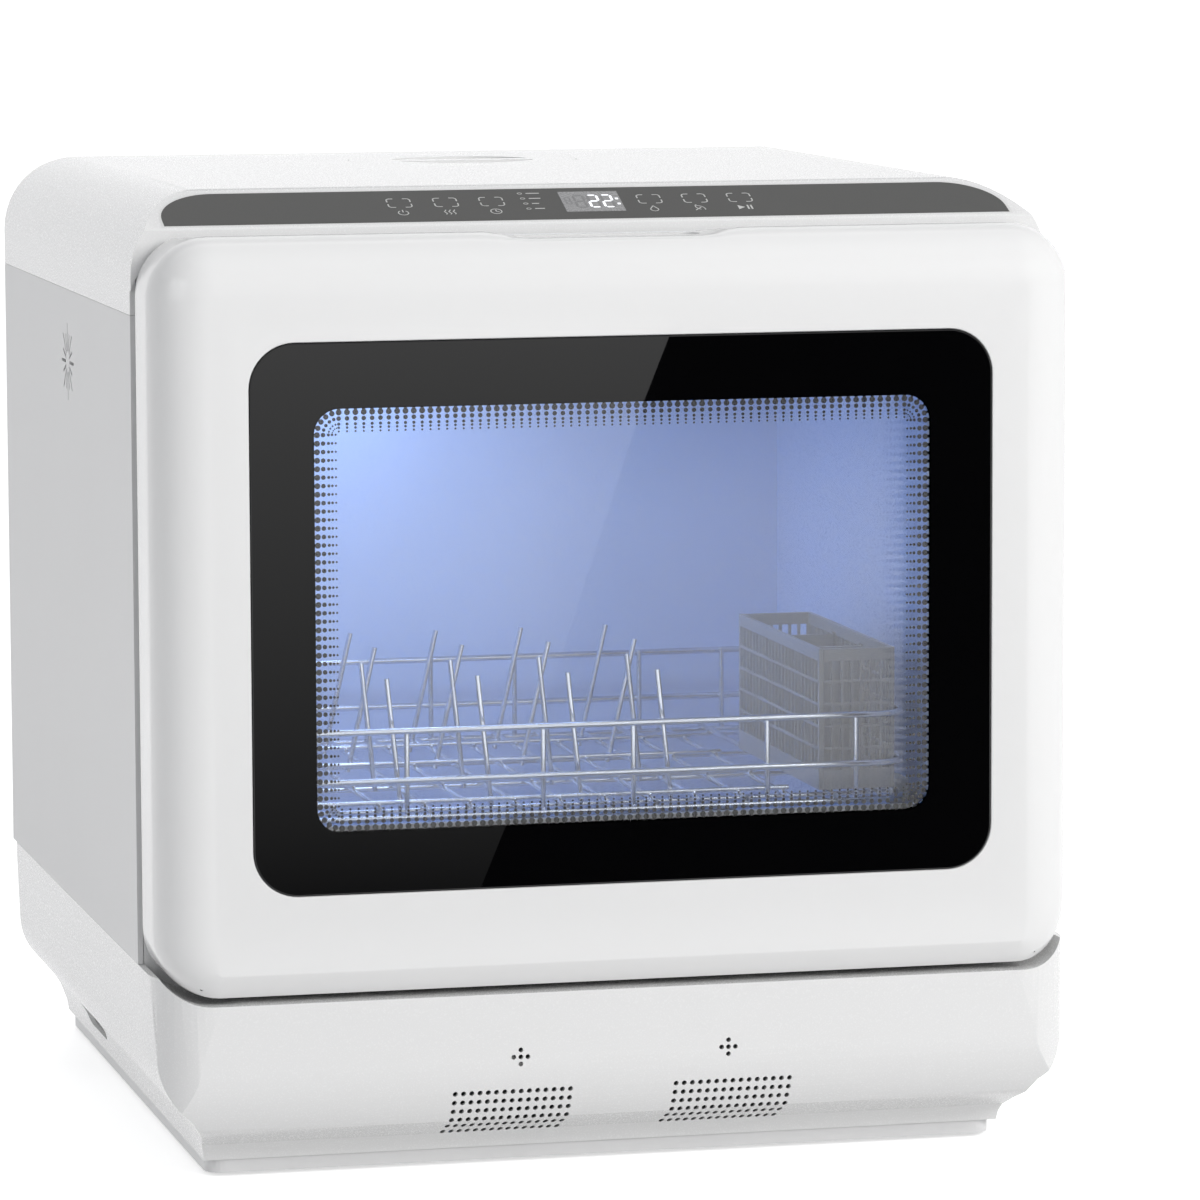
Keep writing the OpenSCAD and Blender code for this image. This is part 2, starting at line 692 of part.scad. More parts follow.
module feed_pipe() placed() color(grey) difference() {
    union() {
        translate([riser_x, tub_back - 9, tub_floor - 14]) rod(5, upper_arm_z + 16 - tub_floor + 14);
        translate([riser_x, tub_back - 9, upper_arm_z + 11])
            rotate([0, 90, -atan2(tub_back - 9 - arm_y, -riser_x)]) rod(5, norm([riser_x, tub_back - 9 - arm_y]));
        translate([0, arm_y, upper_arm_z + 5]) rod(9, 7);
        translate([0, arm_y, upper_arm_z - 6]) rod(4, 12);
        translate([0, arm_y, upper_arm_z - 8]) rod(8, 3);
        // clip on the back wall
        box(riser_x - 9, riser_x + 9, tub_back - 12, tub_back, tub_middle - 6, tub_middle + 6);
    }
    translate([0, arm_y, upper_arm_z - 9]) rod(2, 20);
}

module spray_arm(r_tip, z, bore) translate([0, arm_y, z]) difference() {
    union() {
        for (a = [20, 200]) rotate(a) hull() {
            translate([6, 0, -3]) cylinder(r = 13, h = 6, $fn = 32);
            translate([r_tip - 8, 0, -2]) cylinder(r = 8, h = 4, $fn = 32);
        }
        translate([0, 0, -4]) rod(15, 8.5);
    }
    translate([0, 0, -10]) rod(bore + play, 20);
    for (a = [20, 200], k = [0:4]) rotate(a)
        translate([28 + k * (r_tip - 44) / 4, k % 2 == 0 ? 3 : -3, 0]) rod(1.5, 8, 16);
}

module upper_spray_arm() placed() color(grey) spray_arm(upper_arm_r, upper_arm_z, 4);
module lower_spray_arm() placed() color(grey) spray_arm(lower_arm_r, lower_arm_z, 5);

module spray_post() placed() color(grey) translate([0, arm_y, 0]) {
    translate([0, 0, tub_floor - 14]) rod(8, 14 + 2);
    translate([0, 0, tub_floor + 2 - eps]) rod(11, lower_arm_z - tub_floor - 7);
    translate([0, 0, tub_floor]) rod(5, lower_arm_z - tub_floor + 7);
    translate([0, 0, lower_arm_z + 5]) rod(9, 3);
}

module sump_housing() placed() color(grey) translate([filter_x, filter_y, 0]) difference() {
    union() {
        translate([0, 0, tub_floor - tub_t - 34]) rod(sump_r, 34);
        translate([0, 0, tub_floor - tub_t - 3]) rod(sump_r + 5, 3);
        // spigots to the wash pump and to the drain pump
        rod_x(8, -sump_r - 16, 0, 0, sump_z);
        rod_y(8, 0, sump_r + 16, 0, sump_z);
    }
    translate([0, 0, tub_floor - tub_t - 31.5]) rod(sump_r - 3, 40);
    rod_x(6, -sump_r - 17, 0, 0, sump_z);
    rod_y(6, 0, sump_r + 17, 0, sump_z);
}

module sump_filter() placed() color(steel) translate([filter_x, filter_y, 0]) difference() {
    union() {
        translate([0, 0, tub_floor - 28]) rod(filter_r, 28);
        translate([0, 0, tub_floor]) rod(filter_r + 8, 1.6);
        // grip bar
        translate([-filter_r + 4, -2, tub_floor - 4]) cube([2 * filter_r - 8, 4, 9]);
    }
    difference() {
        translate([0, 0, tub_floor - 26]) rod(filter_r - 2, 40);
        translate([-filter_r, -2, tub_floor - 4]) cube([2 * filter_r, 4, 9]);
    }
    // slots round the wall
    for (i = [0:17]) rotate(i * 20 + 10) translate([filter_r - 5, -1.2, tub_floor - 22]) cube([10, 2.4, 15]);
}

// ---- Machine space under the tub ----

pump_z = base_floor + 32;
pump_x = -32;              // front of the wash pump
sump_z = tub_floor - tub_t - 22;
hose_r = 7;
bend_big = 20;
bend_small = 16;
duct_z = tub_floor - 14 - 6;
// Wash pump with its tubular water heater
module wash_pump() placed() color(grey) {
    rod_x(29, pump_x - 80, pump_x - 42, filter_y, pump_z);
    rod_x(22, pump_x - 42, pump_x, filter_y, pump_z);
    // outlet into the duct of the spray arms
    translate([pump_x - 60, filter_y, pump_z + 18]) rod(8, duct_z - 6 - pump_z - 18);
    // cradle on the floor of the base
    box(pump_x - 70, pump_x - 50, filter_y - 20, filter_y + 20, base_floor, pump_z - 20);
    box(pump_x - 30, pump_x - 14, filter_y - 14, filter_y + 14, base_floor, pump_z - 16);
    rod_x(15, pump_x - 134, pump_x - 86, filter_y, pump_z);
    rod_x(7, pump_x - 87, pump_x - 79, filter_y, pump_z);
    box(pump_x - 126, pump_x - 116, filter_y - 8, filter_y + 8, base_floor, pump_z - 12);
}

drain_y = filter_y + sump_r + 16 + bend_big + bend_small;
module drain_pump() placed() color(grey) {
    rod_y(19, drain_y, drain_y + 42, filter_x, pump_z);
    rod_y(12, drain_y + 42, drain_y + 64, filter_x, pump_z);
    box(filter_x - 10, filter_x + 10, drain_y + 6, drain_y + 32, base_floor, pump_z - 16);
}

// Quarter bend of a hose in the plane of its children's x and y
module bend(r) rotate_extrude(angle = 90, $fn = 48) translate([r, 0]) circle(r = hose_r, $fn = 24);
module pump_hoses() placed() color(rubber) {
    // sump to the wash pump
    x0 = filter_x - sump_r - 16;
    translate([x0, filter_y, sump_z - bend_big]) rotate([90, 0, 0]) rotate(90) bend(bend_big);
    translate([x0 - bend_big, filter_y, pump_z + bend_small])
        rod(hose_r, sump_z - bend_big - pump_z - bend_small, 24);
    translate([x0 - bend_big - bend_small, filter_y, pump_z + bend_small]) rotate([90, 0, 0])
        rotate(-90) bend(bend_small);
    // sump to the drain pump
    y0 = drain_y - bend_big - bend_small;
    translate([filter_x, y0, sump_z - bend_big]) rotate([90, 0, 90]) bend(bend_big);
    translate([filter_x, y0 + bend_big, pump_z + bend_small])
        rod(hose_r, sump_z - bend_big - pump_z - bend_small, 24);
    translate([filter_x, drain_y, pump_z + bend_small]) rotate([90, 0, 90]) rotate(180) bend(bend_small);
    // drain pump towards the outlet at the back
    rod_y(hose_r, drain_y + 64, tank_y1 - 8, filter_x, pump_z, 24);
    // ducts to the lower and to the upper spray arm
    duct_l = norm([pump_x - 60, arm_y - filter_y]);
    translate([pump_x - 60, filter_y, duct_z]) rotate([0, 90, atan2(arm_y - filter_y, 60 - pump_x)])
        rod(6, duct_l, 24);
    riser_l = norm([riser_x - pump_x + 60, tub_back - 9 - filter_y]);
    translate([pump_x - 60, filter_y, duct_z + 1])
        rotate([0, 90, atan2(tub_back - 9 - filter_y, riser_x - pump_x + 60)]) rod(5, riser_l, 24);
}

// Hose fitting: a foot behind the rear panel, a collar in its hole and the
// end that the hose goes on
module port(r, bore, foot, x) difference() {
    union() {
        rod_y(r, rear_y - 3, body_d - 0.6, x, port_z);
        rod_y(r + port_collar, rear_y - 3, port_y, x, port_z);
        box(x - foot, x + foot, rear_y - 3, rear_y - eps, port_z - foot, port_z + foot);
    }
    rod_y(bore, rear_y - 1.5, body_d + 1, x, port_z);
}
module inlet_valve() placed() color(white) {
    port(inlet_r, inlet_bore_r, 17.5, inlet_x);
    port(drain_r, drain_bore_r, 13, drain_x);
}

main_board_x = 25 - half_w;
main_board_y = 120;
main_board_l = 140;
main_board_z = seam_low + 25;
main_board_h = 80;
main_board_t = 1.6;
module main_board() placed() color(green) translate([main_board_x, main_board_y, main_board_z]) {
    cube([main_board_t, main_board_l, main_board_h]);
    for (y = [15, 55, 95]) translate([main_board_t, y, 10]) cube([11.4, 24, 30]);
}

fan_x0 = -half_w + wall + 2;
fan_x1 = -tub_half - tub_t - 0.5;
fan_shaft_r = 2;
module fan_housing() placed() color(grey) translate([0, vent_y, vent_z]) {
    difference() {
        union() {
            rod_x(32, fan_x0, fan_x1, 0, 0);
            box(fan_x0, fan_x0 + 2, -34, 34, -33, 33);
        }
        rod_x(29, fan_x0 + 2, fan_x1 + 1, 0, 0);
        rod_x(25, fan_x0 - 1, fan_x1, 0, 0);
    }
    // motor boss with its shaft, held by three arms
    rod_x(9, fan_x0, fan_x0 + 7, 0, 0);
    rod_x(fan_shaft_r, fan_x0 + 6, fan_x1 - 7, 0, 0);
    for (a = [30, 150, 270]) rotate([a, 0, 0]) box(fan_x0, fan_x0 + 2, -2, 2, 8, 27);
}

module fan_rotor() placed() color(black) translate([0, vent_y, vent_z]) difference() {
    union() {
        rod_x(10, fan_x0 + 8, fan_x1 - 6, 0, 0);
        for (i = [0:8]) rotate([i * 40, 0, 0])
            box(fan_x0 + 9, fan_x1 - 8, -1, 1, 9, 27);
    }
    rod_x(fan_shaft_r + play, fan_x0, fan_x1, 0, 0);
}

// ---- Hinges and latch ----

latch_z = (dish_high + door_high) / 2 - 0.5;
eye_r = 5.4;
arm_low = 1;               // of the bracket's arm below and above the axis
arm_high = 7;

module hinge_brackets() placed() color(steel) mirrored_pair() difference() {
    union() {
        rod_x(eye_r, hinge_x - bracket_t / 2, hinge_x + bracket_t / 2, hinge_y, hinge_z);
        box(hinge_x - bracket_t / 2, hinge_x + bracket_t / 2, hinge_y, tub_front + 22, hinge_z - arm_low, hinge_z + arm_high);
        // flange behind the front frame
        box(hinge_x - 12, hinge_x + 12, tub_front, tub_front + 2.5, hinge_z - 9, hinge_z + 22);
    }
    rod_x(pin_r + play, hinge_x - 10, hinge_x + 10, hinge_y, hinge_z);
    for (s = [-1, 1]) rod_y(1.6, tub_front - 1, tub_front + 4, hinge_x + s * 7, hinge_z + 16, 16);
}

leaf_t = 3;
leaf_x = bracket_t / 2 + 1.2;
// Two leaves on each side of the door, and the pin fixed in both
module hinge_leaves() placed() color(steel) mirrored_pair() {
    for (s = [-1, 1]) translate([hinge_x + s * (leaf_x + leaf_t / 2), 0, 0])
        along_x(-leaf_t / 2, leaf_t / 2) polygon(concat(
            arc(hinge_y, hinge_z, eye_r, 150, 345),
            [[liner_y, hinge_z + 22], [liner_y, hinge_z + 34], [liner_y - 12, hinge_z + 34]]));
    rod_x(pin_r, hinge_x - leaf_x - leaf_t, hinge_x + leaf_x + leaf_t, hinge_y, hinge_z);
}

latch_y = tub_front + tub_t + 0.5;
pawl_z = latch_z + 13;
module latch_housing() placed() color(grey) difference() {
    box(-13, 13, latch_y, latch_y + 30, tub_top + tub_t, latch_z + 20);
    box(-10, 10, latch_y - 1, latch_y + 27, latch_z - 4, latch_z + 18);
    rod_x(1.5, -12, 12, latch_y + 20, pawl_z, 24);
}

module latch_pawl() placed() color(white) {
    rod_x(1.5 - play, -12, 12, latch_y + 20, pawl_z, 24);
    difference() {
        union() {
            rod_x(2.8, -4, 4, latch_y + 20, pawl_z);
            box(-4, 4, latch_y + 4, latch_y + 20, pawl_z - 1, pawl_z + 1.5);
            box(-4, 4, latch_y + 4, latch_y + 6, pawl_z - 3.4, pawl_z);
        }
        rod_x(1.4, -5, 5, latch_y + 20, pawl_z);
    }
}

// ---- Door ----

module door_side_outline(t = 0) polygon(concat(
    [[door_t, door_low + t], [8 + t, door_low + t], [2 + t, door_low + 8], [t, door_low + 12]],
    arc(door_round, door_high - door_round, door_round - t, 180, 90),
    [[door_t, door_high - 2.5 - t]]));

module door_plan_outline(t = 0) polygon(mirror_outline(concat(
    [[door_w / 2 - t, door_t]],
    arc(door_w / 2 - door_round, door_round, door_round - t, 0, -90))));

module door_form(t = 0, y1 = door_t) intersection() {
    along_y(0, y1) door_outline(-t);
    along_x(-half_w, half_w) door_side_outline(t);
    along_z(0, body_h) door_plan_outline(t);
}

// Room in the door for the hinge bracket over the whole swing: the opening
// in the underside starts behind the door's lower edge
module hinge_notch() mirrored_pair() {
    box(hinge_x - notch_w / 2, hinge_x + notch_w / 2, hinge_y - arm_low - 0.6, door_t + 1, door_low - 2,
        hinge_z + arm_high + 0.6);
    rod_x(eye_r + 0.6, hinge_x - notch_w / 2, hinge_x + notch_w / 2, hinge_y, hinge_z);
}

grip_half = 56;
grip_end = 14;
grip_dip = 2.8;
module finger_grip() {
    // shallow dip across the top edge with soft ends, and a pocket behind it
    along_y(-1, door_t + 1) polygon(concat(
        [[-grip_half, door_high + 1]],
        [for (i = [0:8]) [-grip_half + grip_end * i / 8, door_high - grip_dip / 2 * (1 - cos(i * 22.5))]],
        [for (i = [8:-1:0]) [grip_half - grip_end * i / 8, door_high - grip_dip / 2 * (1 - cos(i * 22.5))]],
        [[grip_half, door_high + 1]]));
    along_z(door_high - 16, door_high + 1)
        translate([0, grip_y]) round_rect(-grip_half + grip_end, grip_half - grip_end, -9, 9, 7, 6);
}

grip_y = 34;
module grip_walls() along_z(door_high - 18, door_high - 1)
    translate([0, grip_y]) round_rect(-grip_half + grip_end - 2, grip_half - grip_end + 2, -11, 11, 9, 6);

module glass_outline(grow = 0)
    round_rect(-glass_w / 2 - grow, glass_w / 2 + grow, glass_low - grow, glass_high + grow, glass_r + grow);

module door_shell() placed() color(white) difference() {
    union() {
        difference() {
            door_form(0, liner_y);
            door_form(door_wall, liner_y + 1);
        }
        intersection() {
            door_form(0, liner_y);
            union() {
                grip_walls();
                // rim that carries the front glass
                along_y(1, glass_t + 4.5) difference() {
                    glass_outline(2.5);
                    glass_outline(-13);
                }
                // walls of the hinge notches
                mirrored_pair() box(hinge_x - notch_w / 2 - 2, hinge_x + notch_w / 2 + 2, 1, liner_y,
                    door_low, hinge_z + 15);
            }
        }
    }
    finger_grip();
    hinge_notch();
    along_y(-1, glass_t + gap) glass_outline(gap);
    along_y(-1, 20) glass_outline(-14);
    // room for the hinge leaves in the notch walls
    mirrored_pair() for (s = [-1, 1])
        translate([hinge_x + s * (leaf_x + leaf_t / 2), 0, 0])
            box(-leaf_t / 2 - 0.4, leaf_t / 2 + 0.4, hinge_y - eye_r - 0.4, liner_y + 1, hinge_z - eye_r - 0.4, hinge_z + 35);
}

module door_glass() placed() color([0.03, 0.03, 0.035, 0.5]) along_y(0, glass_t) glass_outline();

module glass_bond() placed() color(black) along_y(glass_t, glass_t + gap) difference() {
    glass_outline(-1);
    glass_outline(-12);
}

module pane_outline(grow = 0)
    round_rect(-pane_w / 2 - grow, pane_w / 2 + grow, pane_low - grow, pane_high + grow, 12 + grow, 6);

pane_y = dish_y - 2.5 - pane_t - 0.5;
module inner_glass() placed() color(clear) along_y(pane_y, pane_y + pane_t) pane_outline();

module inner_glass_seal() placed() color(rubber) {
    along_y(pane_y + pane_t, pane_y + pane_t + 0.5) difference() {
        pane_outline(-0.5);
        pane_outline(-5);
    }
    along_y(pane_y - 1, pane_y + pane_t + 0.5) difference() {
        pane_outline(2.5);
        pane_outline(play);
    }
}

module dish_outline(grow = 0)
    round_rect(-dish_half - grow, dish_half + grow, dish_low - grow, dish_high + grow, tub_r + grow, 8);

cup_x = 70;
cup_half = 30;
cup_low = dish_low + 3.5;
cup_high = pane_low - 3;
cup_y = dish_y - 15;
module cup_outline(grow = 0)
    round_rect(cup_x - cup_half - grow, cup_x + cup_half + grow, cup_low - grow, cup_high + grow, 4 + grow, 4);

module door_liner() placed() color(off_white) difference() {
    union() {
        intersection() {
            along_y(liner_y, door_t) door_outline(-0.5);
            along_x(-half_w, half_w) door_side_outline(0.5);
        }
        along_y(dish_y - 2.5, liner_y + 1) dish_outline(2.5);
    }
    along_y(dish_y, door_t + 1) dish_outline();
    along_y(dish_y - 4, dish_y + 1) pane_outline(-7);
    along_y(dish_y - 4, dish_y + 1) cup_outline(0.2);
    hinge_notch();
    // holes for the screws of the latch hook
    for (s = [-1, 1]) rod_y(1.2, liner_y - 1, door_t + 1, s * 6, latch_z + 2, 16);
}

module detergent_cup() placed() color(grey) difference() {
    union() {
        along_y(cup_y, dish_y) cup_outline();
        along_y(dish_y, dish_y + 1.2) cup_outline(1.6);
        // channels that hold the sliding lid
        for (z = [cup_low - 1.6, cup_high - 0.2])
            box(cup_x - cup_half - 56, cup_x + cup_half, dish_y + 1.2 - eps, dish_y + 3.8, z, z + 1.8);
        for (z = [cup_low - 1.6, cup_high - 2.2])
            box(cup_x - cup_half - 56, cup_x + cup_half, dish_y + 3, dish_y + 3.8, z, z + 3.8);
        box(cup_x - cup_half - 56, cup_x - cup_half + 2, dish_y, dish_y + 1.2, cup_low - 1.6, cup_high + 1.6);
    }
    along_y(cup_y + 1.5, dish_y + 2) cup_outline(-2);
}

module detergent_lid() placed() color(white) {
    along_y(dish_y + 1.3, dish_y + 2.8)
        round_rect(cup_x - cup_half + 1, cup_x + cup_half - 1, cup_low + 0.6, cup_high - 0.6, 1, 2);
    box(cup_x - 10, cup_x - 7, dish_y + 2.8 - eps, dish_y + 6, (cup_low + cup_high) / 2 - 6, (cup_low + cup_high) / 2 + 6);
}

module latch_hook() placed() color(white) {
    box(-8, 8, door_t, door_t + 2, latch_z - 3.5, latch_z + 6);
    box(-4, 4, door_t + 2 - eps, latch_y + 12, latch_z - 2, latch_z + 2);
    along_x(-4, 4) polygon([[latch_y + 6, latch_z + 2 - eps], [latch_y + 12, latch_z + 2 - eps],
        [latch_y + 9, latch_z + 5.5], [latch_y + 7, latch_z + 5.5]]);
}

// ---- Rack and basket ----

rail_zs = [rack_z, low_rail_z, top_rail_z];
side_x = rack_half - rail_r;
front_y = rack_front + rail_r;
back_y = rack_back - rail_r;
cross_ys = [for (i = [0:3]) front_y + bend_r + 4 + i * (back_y - front_y - 2 * bend_r - 8) / 3];
floor_step = tine_pitch / 2;
floor_count = floor((side_x - 8) / floor_step + 0.5);
floor_xs = [for (i = [-floor_count:floor_count - 1]) (i + 0.5) * floor_step];
floor_end = (floor_count - 0.5) * floor_step;

// Straight stretches of the three wire hoops
module rack_rails() placed() color(steel) for (z = rail_zs) {
    for (x = [-side_x, side_x]) rod_y(rail_r, front_y + bend_r, back_y - bend_r, x, z, 24);
    for (y = [front_y, back_y]) rod_x(rail_r, -side_x + bend_r, side_x - bend_r, y, z, 24);
}

// Round corners of the hoops
module rack_bends() placed() color(steel)
    for (z = rail_zs, sx = [0, 1], sy = [0, 1]) mirror([sx, 0, 0])
        translate([side_x - bend_r, sy == 0 ? front_y + bend_r : back_y - bend_r, z]) mirror([0, 1 - sy, 0])
            rotate_extrude(angle = 90, $fn = 48) translate([bend_r, 0]) circle(r = rail_r, $fn = 16);

// Floor: long wires on top of the hoop, welded to four cross wires under them
weld = 0.2;                // how far welded wires sink into each other
cross_end = side_x - rail_r - 2 * wire_r - 0.05;
module rack_floor() placed() color(steel) {
    for (x = floor_xs) rod_y(wire_r, front_y, back_y, x, rack_z + rail_r + wire_r, 16);
    for (y = cross_ys) rod_x(wire_r, -cross_end, cross_end, y, rack_z + rail_r - wire_r + weld, 16);
}

// Short uprights that join the hoops round the edge
module rack_uprights() placed() color(steel) {
    // each stands midway between two floor wires
    for (k = [-1:0.4:1], y = [front_y + rail_r + wire_r, back_y - rail_r - wire_r])
        translate([round(k * (side_x - 24) / floor_step) * floor_step, y, rack_z + rail_r])
            rod(wire_r, top_rail_z - rack_z, 16);
    for (s = [-1, 1], y = cross_ys)
        translate([s * (side_x - rail_r - wire_r), y, rack_z - 1]) rod(wire_r, top_rail_z - rack_z + 2, 16);
}

// Four rows of leaning tines, each row welded to the back of a wire that lies
// on the floor wires
tine_h = 60;
tine_rows = [[90, -6], [148, -6], [212, 13], [270, 13]];
module rack_tines() placed() color(steel) for (row = tine_rows) {
    y = row[0] + rack_front - 72;
    rod_x(wire_r, -floor_end - 2, (tine_count - 3) * tine_pitch + 13, y - 2 * wire_r, rack_z + rail_r + 3 * wire_r, 16);
    for (i = [0:tine_count - 1])
        translate([(i - 3) * tine_pitch, y, rack_z + rail_r + 0.2])
            rotate([0, row[1], 0]) rod(wire_r, tine_h, 16);
}

// Glides that slide on the guides of the tub
module rack_glides() placed() color(white) mirrored_pair() for (y = [front_y + 36, back_y - 36])
    translate([0, y, guide_z + gap]) difference() {
        box(side_x - 3, glide_half, -9, 9, 0, 9);
        rod_y(rail_r + 0.02, -10, 10, side_x, rack_z - guide_z - gap, 24);
    }

// Cutlery basket, and the two plates that slide down between ribs of its
// walls to part its cells
basket_cells = 3;
basket_t = 2;
cell_l = (basket_l - basket_t) / basket_cells;
divider_ys = [for (c = [1:basket_cells - 1]) c * cell_l - basket_l / 2];
divider_play = 0.15;
rib = 0.9;
module in_basket() placed() translate([basket_x, basket_y, basket_z]) children();

module cutlery_basket() in_basket() color(grey) {
    difference() {
        box(-basket_w / 2, basket_w / 2, -basket_l / 2, basket_l / 2, 0, basket_h);
        box(basket_t - basket_w / 2, basket_w / 2 - basket_t, basket_t - basket_l / 2, basket_l / 2 - basket_t,
            basket_t, basket_h + 1);
        // windows of the sides and ends, and holes in the floor
        for (k = [0:2]) {
            z0 = 8 + k * 17.5;
            for (i = [-4:4]) box(-basket_w, basket_w, i * 15.4 - 5.7, i * 15.4 + 5.7, z0, z0 + 14.5);
            for (i = [-1:1]) box(i * 11 - 4, i * 11 + 4, -basket_l, basket_l, z0, z0 + 14.5);
        }
        for (s = [-1, 1], c = [0:basket_cells - 1])
            box(s * 8.5 - 6, s * 8.5 + 6, (c - 1) * cell_l - 18, (c - 1) * cell_l + 18, -1, basket_t + 1);
    }
    for (y = divider_ys, s = [-1, 1], d = [-divider_play - rib, basket_t + divider_play])
        box(s < 0 ? basket_t - basket_w / 2 - eps : basket_w / 2 - basket_t - rib,
            s < 0 ? basket_t - basket_w / 2 + rib : basket_w / 2 - basket_t + eps,
            y + d, y + d + rib, basket_t - eps, basket_h - 4);
}

module basket_dividers() in_basket() color(grey) for (y = divider_ys)
    box(basket_t + divider_play - basket_w / 2, basket_w / 2 - basket_t - divider_play, y, y + basket_t,
        basket_t + divider_play, basket_h - 5);

top_cover();
side_panel_left();
side_panel_right();
rear_panel();
base_housing();
carry_cups();
front_lower_panel();
base_plinth();
feet();
casing_screws();
front_frame();
control_panel();
control_board();
display_module();
filler_collar();
strainer_frame();
strainer_mesh();
fill_funnel();
cap_seal();
filler_cap();
water_tank();
tub();
door_gasket();
rack_guides();
interior_lamp();
feed_pipe();
upper_spray_arm();
sump_housing();
spray_post();
lower_spray_arm();
sump_filter();
wash_pump();
drain_pump();
pump_hoses();
inlet_valve();
main_board();
fan_housing();
fan_rotor();
hinge_brackets();
latch_housing();
latch_pawl();
door_shell();
door_glass();
glass_bond();
inner_glass();
inner_glass_seal();
door_liner();
detergent_cup();
detergent_lid();
latch_hook();
hinge_leaves();
rack_rails();
rack_bends();
rack_floor();
rack_uprights();
rack_tines();
rack_glides();
cutlery_basket();
basket_dividers();
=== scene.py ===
import json
import math
import bmesh
import bpy
from mathutils import Matrix, Vector

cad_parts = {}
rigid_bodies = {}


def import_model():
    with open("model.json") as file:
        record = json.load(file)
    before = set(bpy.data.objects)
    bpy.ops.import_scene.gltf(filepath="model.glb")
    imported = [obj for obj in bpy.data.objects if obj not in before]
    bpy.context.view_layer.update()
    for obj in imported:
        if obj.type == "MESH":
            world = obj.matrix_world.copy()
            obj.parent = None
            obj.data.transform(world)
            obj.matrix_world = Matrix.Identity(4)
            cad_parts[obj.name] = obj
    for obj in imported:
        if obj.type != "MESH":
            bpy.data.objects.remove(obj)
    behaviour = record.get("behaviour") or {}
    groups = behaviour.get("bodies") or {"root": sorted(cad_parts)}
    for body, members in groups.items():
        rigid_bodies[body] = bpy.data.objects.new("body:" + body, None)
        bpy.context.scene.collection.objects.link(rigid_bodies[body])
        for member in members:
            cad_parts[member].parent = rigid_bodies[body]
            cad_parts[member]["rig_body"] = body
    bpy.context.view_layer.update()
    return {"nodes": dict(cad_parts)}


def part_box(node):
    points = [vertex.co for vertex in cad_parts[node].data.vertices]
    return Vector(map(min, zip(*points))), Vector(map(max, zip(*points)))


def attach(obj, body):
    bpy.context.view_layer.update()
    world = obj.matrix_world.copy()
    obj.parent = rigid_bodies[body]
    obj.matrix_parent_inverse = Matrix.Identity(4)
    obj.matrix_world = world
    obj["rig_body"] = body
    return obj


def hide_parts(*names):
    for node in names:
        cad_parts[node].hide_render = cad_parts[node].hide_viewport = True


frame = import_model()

nodes = frame["nodes"]

# the row frame has its origin under the middle of the cabinet; the values below are
# millimetres, with d as the depth behind the door's face
bodyDepth = 435.0


def at(x, d, z):
    return Vector((x / 1000, (d - bodyDepth / 2) / 1000, z / 1000))


# materials
def nodeTree(name):
    # a new material with an empty node tree
    m = bpy.data.materials.new(name)
    m.use_nodes = True
    t = m.node_tree
    t.nodes.clear()
    return m, t


def addNode(t, kind, inputs=None, **props):
    n = t.nodes.new(kind)
    for k, v in props.items():
        setattr(n, k, v)
    for k, v in (inputs or {}).items():
        if isinstance(v, bpy.types.NodeSocket):
            t.links.new(v, n.inputs[k])
        else:
            n.inputs[k].default_value = v
    return n


patchScale = 14.0         # of the faint patches in every finish


def surface(name, color, rough, vary=0.02, roughVary=0.06, grain=0.0, grainScale=900.0,
            metal=0.0, coat=0.0, coatRough=0.1, spec=0.5, stretch=(1, 1, 1), wave=0.0, waveScale=6.0):
    # one opaque finish: a little patchiness in colour and gloss, and a fine grain
    m, t = nodeTree(name)
    coords = addNode(t, "ShaderNodeTexCoord")
    mapping = addNode(t, "ShaderNodeMapping", {"Vector": coords.outputs["Object"], "Scale": stretch})

    def noise(scale, detail):
        return addNode(t, "ShaderNodeTexNoise",
                       {"Vector": mapping.outputs[0], "Scale": scale, "Detail": detail})

    def bump(distance, source, under=None):
        inputs = {"Strength": 1.0, "Distance": distance, "Height": source.outputs["Fac"]}
        if under:
            inputs["Normal"] = under.outputs[0]
        return addNode(t, "ShaderNodeBump", inputs)

    patches = noise(patchScale, 4.0)
    fine = noise(grainScale, 2.0)
    tint = addNode(t, "ShaderNodeMix", {"Factor": patches.outputs["Fac"]}, data_type="RGBA")
    tint.inputs[6].default_value = [max(0.0, c * (1 - vary)) for c in color] + [1]
    tint.inputs[7].default_value = [min(1.0, c * (1 + vary)) for c in color] + [1]
    gloss = addNode(t, "ShaderNodeMapRange", {
        "Value": fine.outputs["Fac"], "From Min": 0.3, "From Max": 0.7,
        "To Min": max(0.0, rough - roughVary), "To Max": rough + roughVary})
    p = addNode(t, "ShaderNodeBsdfPrincipled", {
        "Base Color": tint.outputs[2], "Roughness": gloss.outputs[0], "Metallic": metal, "IOR": 1.5,
        "Coat Weight": coat, "Coat Roughness": coatRough, "Specular IOR Level": spec})
    height = bump(grain, fine) if grain else None
    if wave:
        height = bump(wave, noise(waveScale, 1.0), height)
    if height:
        t.links.new(height.outputs[0], p.inputs["Normal"])
    out = addNode(t, "ShaderNodeOutputMaterial")
    t.links.new(p.outputs[0], out.inputs[0])
    return m


